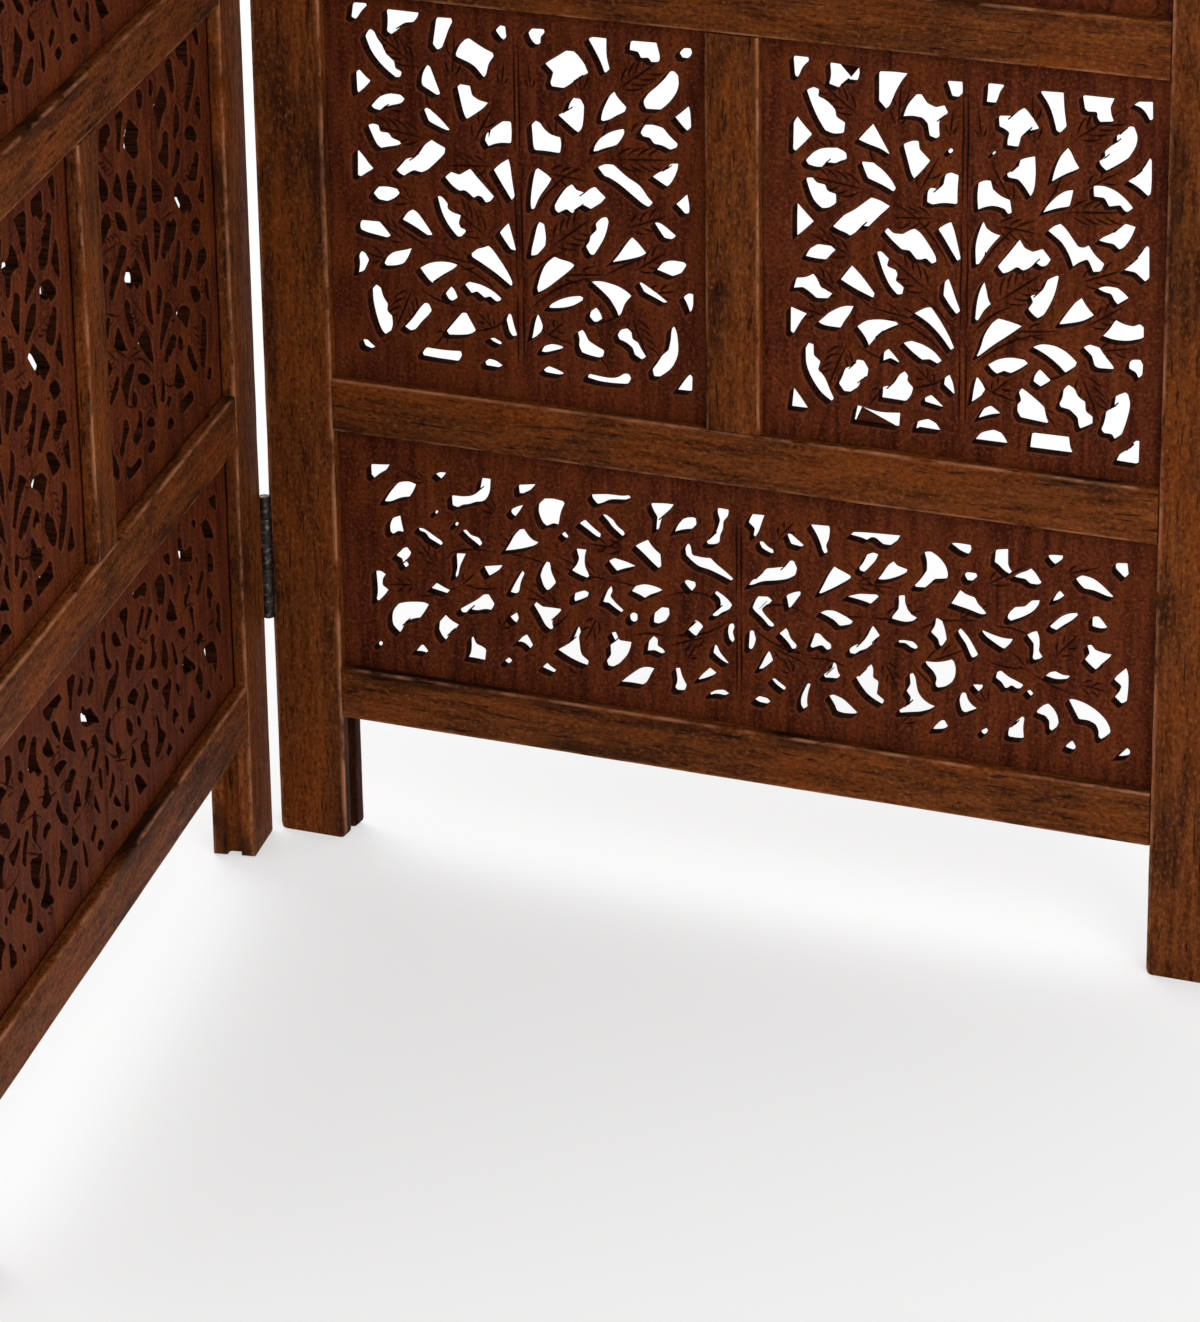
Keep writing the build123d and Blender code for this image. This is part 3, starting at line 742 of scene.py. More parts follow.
# %% Holes of the left tree, right of its stem
LEFT_TREE_EAST = [
    # The foot, right of the stem.
    [(12.3, 16.5), (14.5, 19), (18, 18.3), (22, 17), (23.3, 15.8), (21, 15), (14, 15.3)],
    [(35.8, 15.8), (36.5, 18), (41, 17.5), (46.5, 17), (51, 17.5), (55, 20.3), (57.7, 20.3), (59, 18),
     (57.5, 14.8), (50, 14.3), (42, 14.5)],
    [(90, 24.5), (91.3, 23), (91, 15.8), (83.5, 15.7), (85.5, 18.5), (88, 22)],
    [(11.3, 26), (13, 29.5), (17, 31), (22.3, 30.3), (23, 29), (19, 27.5), (14, 25.7)],
    [(9.8, 45.2), (11.3, 42), (12.3, 39), (11.5, 36), (8.5, 33), (6.2, 31.8), (7, 35), (8.3, 41)],
    [(31, 39), (33, 40.3), (34.5, 38.8), (36.5, 35), (40.5, 32.8), (44.8, 30.8), (44, 27.3), (42, 26.8),
     (37, 27.5), (33, 28.5), (31.5, 32), (32, 35.5)],
    [(52.3, 40), (54, 43.2), (57, 43.8), (59.3, 42), (60, 38.5), (63, 37), (64.5, 34), (67.3, 30),
     (65.5, 28.3), (61.5, 30.5), (60.5, 34), (57, 36.5), (53.5, 37.5)],
    [(80.8, 46), (81.8, 48), (83.3, 45), (84, 38), (83.8, 33), (81.5, 27.5), (79.5, 25), (75, 21),
     (71.5, 20.8), (70.7, 24.5), (74, 29), (76, 32.5), (79.3, 35.5), (80.5, 41)],
    # The low branches, right.
    [(40.3, 52.8), (42.3, 50.5), (43.7, 47), (41.5, 45), (39.5, 45.2), (37.3, 47.7), (38, 50.5)],
    [(15.8, 49.5), (17.5, 52), (21.5, 54.5), (27, 56.5), (32, 57.5), (34, 56.8), (33.5, 54.8),
     (29.5, 52), (24, 50), (17.5, 49)],
    [(38.5, 65.7), (44, 66.5), (52, 65.3), (57.5, 62.5), (59.8, 60.5), (56, 56.5), (54, 51),
     (52.8, 49.5), (51.5, 53), (48, 58.5), (43, 62.5)],
    [(64, 68.3), (65.5, 68), (70, 65.5), (75, 62.3), (79, 59.3), (77.5, 59), (73, 61), (67, 63.5)],
    [(87.5, 63.5), (89.5, 65.8), (92, 65.5), (92, 59), (90.8, 56), (89.5, 60)],
    [(73.2, 75.8), (76.5, 80), (81, 81.3), (87.5, 81), (88.8, 79.5), (86, 75), (82, 73.3), (76.5, 75)],
    [(49.2, 76.5), (52.5, 80.5), (57, 87), (60, 90.8), (62, 89.3), (65.5, 86), (67.8, 83.3), (65, 81.5),
     (59, 79.5), (50.5, 77)],
    [(19, 76), (22, 74.8), (27.5, 74), (29.8, 72.3), (27, 69), (21.5, 64.3), (15, 59), (10.3, 56.3),
     (9.5, 59), (11.5, 66), (14.5, 72)],
    # The middle, right.
    [(11, 93), (13.7, 91.8), (14.5, 85), (14, 80.5), (10, 75.5), (6.8, 75), (7, 78), (8.3, 84),
     (9.7, 90)],
    [(47, 99.3), (44.5, 98.8), (41.5, 95.5), (42, 92.5), (38.5, 89), (38, 86), (36, 83.5), (38.3, 79.5),
     (40, 79), (42.5, 83), (45.5, 88), (47.2, 93), (48, 97)],
    [(72.3, 99.8), (75, 96), (78, 92.3), (82, 92), (83.5, 93.8), (79.5, 96.8), (75, 99.5)],
    [(10.5, 120.2), (15.5, 117.5), (18, 115.3), (15.5, 111), (11.5, 105.5), (8.8, 99), (7.3, 99),
     (7, 103), (8, 112), (9.5, 119)],
    [(19.8, 102.5), (22.5, 107.5), (26, 112.5), (28.5, 114), (31, 111.3), (35.5, 110.3), (38.5, 113),
     (41, 114), (43.5, 111.5), (46.7, 109), (44, 105.5), (39.5, 102.3), (35.5, 104), (32.5, 102.5),
     (29.5, 99), (26.5, 101), (22, 98.5), (20.2, 100)],
    [(43, 124.3), (46.5, 126), (51, 126), (53.5, 124), (58, 120.5), (63.5, 118), (66, 115.5),
     (68.5, 111.8), (71.3, 109.5), (69.5, 107.3), (67, 108), (62, 111.5), (55, 116.5), (49.5, 119.3),
     (46.5, 120)],
    [(83.7, 110.5), (87, 113.5), (89.3, 115.7), (90.5, 110), (90.3, 106), (88.5, 105.8), (86.5, 108)],
    # The crown, right.
    [(71.5, 122.8), (74.5, 125.5), (79, 127.5), (80.5, 130.3), (84.5, 130.7), (84, 126.5), (81.5, 121),
     (79.5, 118.5), (77.5, 119.5)],
    [(40.8, 131.8), (41.5, 135), (44, 139), (48.5, 142.2), (53.5, 144), (56.5, 144.7), (57, 142.5),
     (55.5, 139.5), (53, 136), (47, 134), (43, 132)],
    [(65.5, 144), (67.5, 148), (72, 148.5), (77, 147.5), (80, 144), (84.5, 140.5), (84, 138.5),
     (81, 137.3), (77, 139), (72.5, 139.3), (70.5, 142), (67, 142.2)],
    [(90, 160), (90.8, 157), (91.5, 149), (90, 147.5), (87.5, 149.8), (83.5, 154), (87, 157)],
    [(50, 161.5), (51.7, 163), (53.5, 160), (58.3, 155.5), (57.5, 153), (53.5, 151), (50, 148.7),
     (46, 147.5), (44.8, 148.5), (46, 153.5)],
    [(30.2, 157.5), (34, 157.3), (36, 154), (35.5, 148), (34.7, 143), (33, 140.5), (30.5, 142),
     (26, 145.5), (22.3, 148.5), (27.5, 151), (28.5, 154.5)],
    [(9, 131), (8.7, 137), (8.3, 142), (10, 144), (12.5, 143), (14.5, 140), (18, 137.5), (23, 137),
     (23.7, 133), (23, 129), (16, 129.3), (10, 129)],
    [(67.5, 160.5), (70, 164.5), (74, 168), (78.5, 172.5), (81, 176), (83, 176), (85, 174),
     (85.3, 169.5), (84, 165.5), (80.5, 160.5), (76.5, 156.5), (69, 156), (67.7, 158)],
    [(16, 173.5), (19, 175.5), (23, 178), (26.5, 180.5), (31, 180.7), (35.5, 176.5), (38.3, 170.5),
     (33, 167.5), (29, 163.8), (26, 161.8), (19.5, 162), (18.7, 164), (20.3, 169.5), (18.5, 171)],
    [(39, 188), (40.5, 188.8), (48, 188.8), (48, 180), (49.5, 173.5), (48, 172), (46.8, 172.5),
     (45.5, 176.5), (43, 181.5)],
    [(60.5, 184.5), (61, 189), (74, 189.2), (76, 182.5), (75.5, 179.8), (71.8, 179.5), (70.5, 181.5),
     (66.5, 181), (65, 184)],
    [(86.3, 186), (88, 188.3), (91.5, 188.5), (92.3, 186), (91, 183.5), (87.8, 183.5)],
    [(7.3, 188), (8.5, 189.7), (15.5, 190), (16, 188), (13.7, 185.5), (13.5, 182.5), (11, 182.3),
     (8.5, 184.8)],
]

# %% Holes of the right tree, left of its stem
RIGHT_TREE_WEST = [
    # The foot, left of the stem.
    [(-87, 15), (-78.5, 15), (-83, 21), (-86, 24.5)],
    [(-54.5, 12.3), (-31.5, 11.8), (-31, 18.8), (-43, 18), (-53, 20)],
    [(-23, 12), (-10.5, 12.5), (-13, 16), (-17, 17.7), (-22, 16)],
    [(-18.5, 26), (-9, 24.5), (-13, 28), (-15.5, 30), (-18.5, 28.5)],
    [(-9, 36), (-3.5, 31.5), (-4.5, 37), (-6.5, 41.5), (-8.5, 40)],
    [(-40.5, 25.5), (-28, 25), (-25.5, 28.5), (-24.5, 32.5), (-27.5, 35.5), (-27, 38), (-29, 40.2),
     (-31.5, 38.5), (-34, 34), (-36, 32), (-40, 31), (-40, 28)],
    [(-60, 26), (-56.5, 26), (-52.5, 29), (-51, 33), (-48, 35), (-47.5, 39), (-50, 43), (-53.5, 43),
     (-55.5, 39.5), (-59.5, 38), (-61, 34), (-63, 30)],
    [(-80, 46), (-78.5, 48.5), (-75.5, 48), (-75.5, 42.5), (-72, 39.5), (-73.5, 35), (-70, 32),
     (-67.5, 26), (-65, 21.5), (-66, 20), (-72, 24), (-77, 31), (-80, 38)],
    # The low branches, left.
    [(-40, 44), (-36, 46), (-31.5, 44), (-34, 47), (-37.5, 50.5), (-39.5, 49)],
    [(-30, 54.5), (-26, 56), (-20, 55), (-14, 52), (-10, 47.5), (-12, 45.8), (-16, 47.5), (-20, 46.7),
     (-25, 50)],
    [(-53.5, 60), (-49, 63.5), (-41, 65), (-33.5, 64.5), (-32, 63), (-37, 60.5), (-42, 57), (-47, 50.5),
     (-49, 55)],
    [(-73.5, 59.5), (-68, 65), (-61, 69), (-55, 69.5), (-57, 65), (-60, 61), (-61.5, 58), (-70, 57.8)],
    [(-87.5, 53), (-85.5, 52), (-82, 59), (-79, 63), (-82.5, 64), (-87.5, 65.5)],
    [(-86, 75), (-84.5, 80.5), (-80, 81), (-76, 83.5), (-74, 81.5), (-72, 77), (-66, 74.5), (-68, 72),
     (-74, 71.5), (-78, 74.5), (-81, 76)],
    [(-62, 82.5), (-56.5, 90), (-51, 85), (-44.5, 77), (-45, 75), (-54, 78.5)],
    [(-24.5, 70), (-19, 73.5), (-16, 74), (-12, 69), (-7, 61), (-4, 54.5), (-5.5, 53.5), (-11, 60.5),
     (-17, 66)],
    # The middle, left.
    [(-10, 81), (-9.3, 88), (-7.5, 89.5), (-5.5, 85), (-3.5, 79), (-1.5, 73.5), (-3, 72), (-7, 76.5)],
    [(-43.5, 98.5), (-41.5, 98.8), (-37.5, 95.5), (-38.5, 92), (-34, 90.5), (-33, 88), (-34, 85),
     (-29.8, 82), (-30.5, 78.5), (-33, 78), (-37, 82), (-40.5, 89)],
    [(-80, 92), (-78, 96), (-74, 98.5), (-67, 98.5), (-64.5, 96.5), (-67, 94), (-69, 91.5), (-75, 91.5)],
    [(-13, 113.5), (-9.5, 116), (-6.5, 117.5), (-5, 114), (-3, 106), (-1.5, 99.5), (-3, 98.5),
     (-7, 104.5), (-10.5, 110)],
    [(-40, 109), (-38.5, 111), (-35.5, 108.5), (-31, 108.5), (-27.5, 111), (-25, 112), (-21.5, 110),
     (-18, 105.5), (-14, 99.5), (-13.5, 96.5), (-15.5, 95.5), (-18.5, 98), (-21, 97), (-23.5, 97),
     (-27, 101), (-31, 101), (-35.5, 104.5)],
    [(-66, 108.5), (-61, 114.5), (-55, 118), (-50.5, 122), (-47, 125), (-42, 124), (-37, 121.5),
     (-42, 116.5), (-47.5, 110.5), (-51, 110.5), (-54, 107), (-57, 104.8), (-59, 106), (-63, 107)],
    [(-84.2, 101.5), (-84.5, 110), (-84, 118), (-80, 114), (-75.5, 109.5), (-80, 105)],
    # The crown, left.
    [(-80, 131), (-76.5, 131.5), (-74.5, 129), (-70, 128.5), (-69, 125.5), (-64.5, 124.5), (-64.5, 120),
     (-68, 117.5), (-71.5, 117), (-75.5, 120), (-78, 125)],
    [(-51.5, 142), (-46, 142), (-41, 139), (-36.5, 134.5), (-34, 130.5), (-35, 129), (-41, 132),
     (-48.5, 134.5), (-50, 138)],
    [(-80, 140), (-77, 143.5), (-72.5, 146.5), (-64, 147.5), (-59.5, 145.5), (-59, 142.5), (-62, 141.5),
     (-64.5, 140), (-69.5, 140), (-71, 137.5), (-74, 137), (-78.5, 137.8)],
    [(-86.3, 144.5), (-86.3, 158), (-84.5, 161), (-81.5, 157.5), (-76.5, 152.5), (-80, 148.5),
     (-84.5, 143.5)],
    [(-53.5, 153), (-49.5, 158), (-46, 161.5), (-43.5, 157.5), (-40, 151.5), (-37.5, 147), (-42, 149.5),
     (-48, 151)],
    [(-30.5, 153), (-26, 155), (-23, 155), (-22.5, 151), (-17, 146), (-20, 142), (-23.5, 138),
     (-25, 136.5), (-27, 139.5), (-29, 147)],
    [(-18.5, 126), (-18.5, 131), (-17.5, 133), (-13.5, 133), (-10.5, 136), (-9.5, 140.5), (-7, 141.5),
     (-3, 140.5), (-3.5, 134), (-3.5, 126.5), (-10, 126.5), (-15.5, 125)],
    [(-79.5, 174.5), (-76, 176), (-73, 175), (-73.5, 171.5), (-69, 170), (-65, 166), (-64.5, 162.5),
     (-60, 160), (-60.5, 155), (-65.5, 154), (-70, 155.5), (-74, 161.5), (-77, 168)],
    [(-31, 166.5), (-29, 172.5), (-25, 177.5), (-22, 178), (-19, 174), (-15, 172.5), (-10.5, 174),
     (-8.5, 170), (-12, 167.5), (-13, 165), (-12.5, 158.5), (-14, 157.5), (-17.5, 158.5),
     (-18.5, 164.5), (-21, 167), (-26, 167.5)],
    [(-43, 187), (-36, 187.5), (-28.5, 187.5), (-32, 183), (-35, 177), (-37.5, 170.5), (-39, 169),
     (-43, 173)],
    [(-67.8, 188.8), (-53, 188), (-52.5, 185), (-53.5, 181.5), (-58, 181.5), (-60, 180), (-62.5, 177),
     (-68, 178.5), (-67, 183)],
    [(-86, 190), (-78.5, 190), (-78, 188), (-81.5, 184.5), (-83.5, 180), (-85.5, 181)],
    [(-9, 186), (-1.8, 186.3), (-1.5, 180.5), (-3, 179), (-6.5, 179.2), (-7.5, 182.5)],
    circle((-7, 152.3), 1.3),
]

# %% Holes of the right tree, right of its stem
RIGHT_TREE_EAST = [
    # The foot, right of the stem.
    [(7, 10.5), (23.5, 10.5), (22, 13), (20, 15.5), (16, 16.5), (10, 14.5)],
    [(35, 9.8), (56, 10.2), (54.5, 13), (54, 17.8), (36, 17.8), (35.5, 14)],
    [(78, 9), (88.5, 8.8), (89, 20.5), (87, 20.5), (84.5, 16.5), (80, 13.5)],
    [(8.5, 21), (16, 24), (20, 24.8), (17, 27), (14.5, 28.5), (11.5, 27)],
    [(5, 28.5), (9.5, 32), (11.8, 36), (9.5, 40), (7.5, 42), (6.3, 37)],
    [(30, 24.5), (43.5, 23.2), (42, 27), (41.5, 31), (38, 34), (33, 37.5), (30, 39.3), (28.7, 37),
     (30, 33), (28.2, 31), (28.2, 27.5)],
    [(60, 22.5), (65.5, 25.5), (65.5, 29.5), (62, 31.5), (61.5, 36.5), (58, 38.5), (56, 42.5), (53, 44),
     (51, 41.5), (50.5, 37), (49, 34), (50, 32.2), (54.5, 31.5), (58.5, 28), (59, 24)],
    [(77, 19.5), (80, 22), (82.5, 30), (84, 38), (82.5, 43), (81, 44), (77, 42), (76.5, 36),
     (72.5, 33.5), (71.5, 28), (70, 24), (71.5, 22), (75.5, 22)],
    # The low branches, right.
    [(40, 41), (44.5, 44.5), (41, 48), (38.5, 50), (36.5, 47), (36, 43.5)],
    [(13, 49), (18, 52.5), (24, 54), (31, 53.5), (33, 51.5), (30, 49), (27, 47), (25, 45.8),
     (21.5, 46.5), (18, 44.5), (15.5, 46)],
    [(35, 60.5), (39, 62.5), (46, 62.5), (52, 60), (57, 55.5), (56, 52.5), (52, 49.5), (48, 53.5),
     (42, 57.5)],
    [(60, 64), (63, 65.5), (68, 64.5), (70.5, 61), (75, 56), (75.5, 54.5), (68, 54), (66, 55),
     (64.5, 60)],
    [(84, 60.5), (88, 61), (89.5, 58.5), (89.3, 53), (88, 51.5), (86.5, 54.5), (83, 56), (83.2, 59)],
    [(69.5, 70.5), (73, 74.5), (75.5, 79), (79.5, 77.5), (84, 77), (87, 78.5), (89.3, 77), (89.5, 71.5),
     (86.5, 70.5), (82, 69.2), (75, 69)],
    [(48, 74), (52.5, 81), (56, 86), (58.5, 88), (61, 84), (65, 79.5), (60, 76), (49, 73.5)],
    [(7, 52), (9.5, 57.5), (11, 64), (14.5, 70), (17.5, 72.5), (24, 71.5), (30, 70), (25, 66), (17, 60),
     (9, 52.5)],
    # The middle, right.
    [(6, 71), (6.5, 77), (8, 84), (10.3, 90), (11.5, 86), (12.5, 81), (14, 79), (10.5, 75.5), (7.5, 70)],
    [(37.5, 75), (40.5, 77), (43.5, 82.5), (45.5, 88), (47.3, 97), (46, 97.5), (41.5, 95), (40, 90),
     (37, 87), (33.5, 86), (35, 83), (32.5, 79.5), (34.5, 77)],
    [(66.5, 93.5), (70, 95), (76, 94.8), (79.5, 92.5), (82, 90), (79, 88), (77, 86.5), (75, 88.5),
     (73.5, 91.5), (70, 92)],
    [(6, 98), (5.8, 106), (7, 113), (9.3, 120), (11, 116.5), (14, 114.5), (18.5, 113.5), (13, 107),
     (8, 98.5)],
    [(17, 98.5), (22.5, 106), (27.5, 113), (30, 109), (34, 107.5), (39, 109.5), (43.5, 104.5),
     (41.5, 101.5), (39, 100.8), (36, 102.5), (33, 99), (30, 97.5), (27, 99), (23, 96), (20, 95)],
    [(41.5, 119), (44, 121.5), (47.5, 123), (50.5, 120.5), (54, 116), (56.5, 112.5), (59, 112.5),
     (61.5, 114), (64.5, 109.5), (69.5, 105.5), (68, 101.5), (64.5, 101), (63, 104.5), (61.5, 107),
     (57.5, 105), (54.5, 102.5), (52.5, 108), (49, 113.5), (45, 116.5)],
    [(79, 104), (84, 108.5), (88, 113.5), (90, 117), (91.3, 116), (91.3, 101), (90, 99.5), (85, 103.5)],
    # The crown, right.
    [(66.5, 117), (68, 118.5), (72, 120.5), (76, 123.5), (79, 126.5), (84.3, 125.5), (82, 119),
     (79, 114.5), (77, 113.5), (74, 116), (70, 116.3)],
    [(39, 127), (41, 131), (45.5, 136), (49.5, 139), (53.8, 140), (53, 135), (52, 131.5), (47, 130.3),
     (43, 128.8)],
    [(63.5, 143), (68, 143.5), (74, 142), (79, 138.5), (83, 134), (80.5, 132), (78.5, 133), (77, 135.2),
     (71.5, 134), (69, 138), (64, 138)],
    [(80, 147.5), (85, 151.5), (88.5, 156), (90.3, 159.5), (91.3, 158), (91.3, 142.5), (90.5, 141),
     (85, 145.5)],
    [(43, 142.5), (44.5, 149.5), (47, 156), (50.5, 160), (52.5, 157.5), (54, 154), (56.3, 150.5),
     (50, 147.5)],
    [(33, 134.5), (34.5, 138), (35.3, 146), (34.5, 154.2), (31, 153.3), (27.5, 152), (27, 149.5),
     (25, 147), (21, 144.5), (22, 142.5), (27, 142), (30, 139)],
    [(7, 125), (6.5, 132), (7, 138.5), (10, 139.8), (13, 139.8), (14, 135.5), (18, 132.5),
     (22.5, 131.5), (23.5, 125), (22, 124.5), (20, 127), (15, 128), (10.5, 126.8)],
    [(70, 151), (74, 153.5), (80, 158), (83.5, 164), (84, 169), (82, 173.5), (79.5, 173.5), (77.5, 171),
     (74.3, 169), (74.3, 165.5), (71, 163.5), (68.5, 161), (69, 157.5), (66, 156), (67, 153.5)],
    [(21, 158), (26.5, 158), (27.5, 162.5), (31, 166), (36.5, 167.5), (34.5, 170.5), (30.5, 175.5),
     (28.5, 177), (25.5, 175), (23, 172.5), (16.5, 172), (17, 167), (20, 165.8), (22, 164.5),
     (21, 160.5)],
    [(36.5, 186), (47.8, 186.3), (48.3, 178), (49.5, 170), (47, 167), (45, 168), (43.5, 174), (41, 180)],
    [(57.5, 186), (72.5, 186.3), (70.5, 181.5), (71, 178), (72.5, 175), (66, 174.3), (64.5, 176.5),
     (64.5, 179), (60, 178.7), (58.5, 180)],
    [(82, 184.5), (84, 186), (91, 186.3), (91.3, 178), (90, 177.8), (88, 181.5), (85.5, 183.5)],
    [(10.5, 178), (15.5, 178), (17, 183), (19, 186.3), (18, 187), (11, 187), (11, 183)],
    circle((14.5, 153.5), 0.8),
]

# %% Slant of the view through each tree
LEFT_TREE_SLANT = (-3.4, -2.6)
RIGHT_TREE_SLANT = (-2.7, -2.6)
LEFT_TREE_HOLES = sawn_through(LEFT_TREE_WEST + LEFT_TREE_EAST, LEFT_TREE_SLANT)
RIGHT_TREE_HOLES = sawn_through(RIGHT_TREE_WEST + RIGHT_TREE_EAST, RIGHT_TREE_SLANT)
print("holes in a left tree:", len(LEFT_TREE_HOLES), " in a right tree:", len(RIGHT_TREE_HOLES))

# %% [markdown]
# ### The low tree of the wide panels
#
# The band panels hold one low tree whose branches run far out to both sides. Its lists go from
# the left end of the panel to its right end.

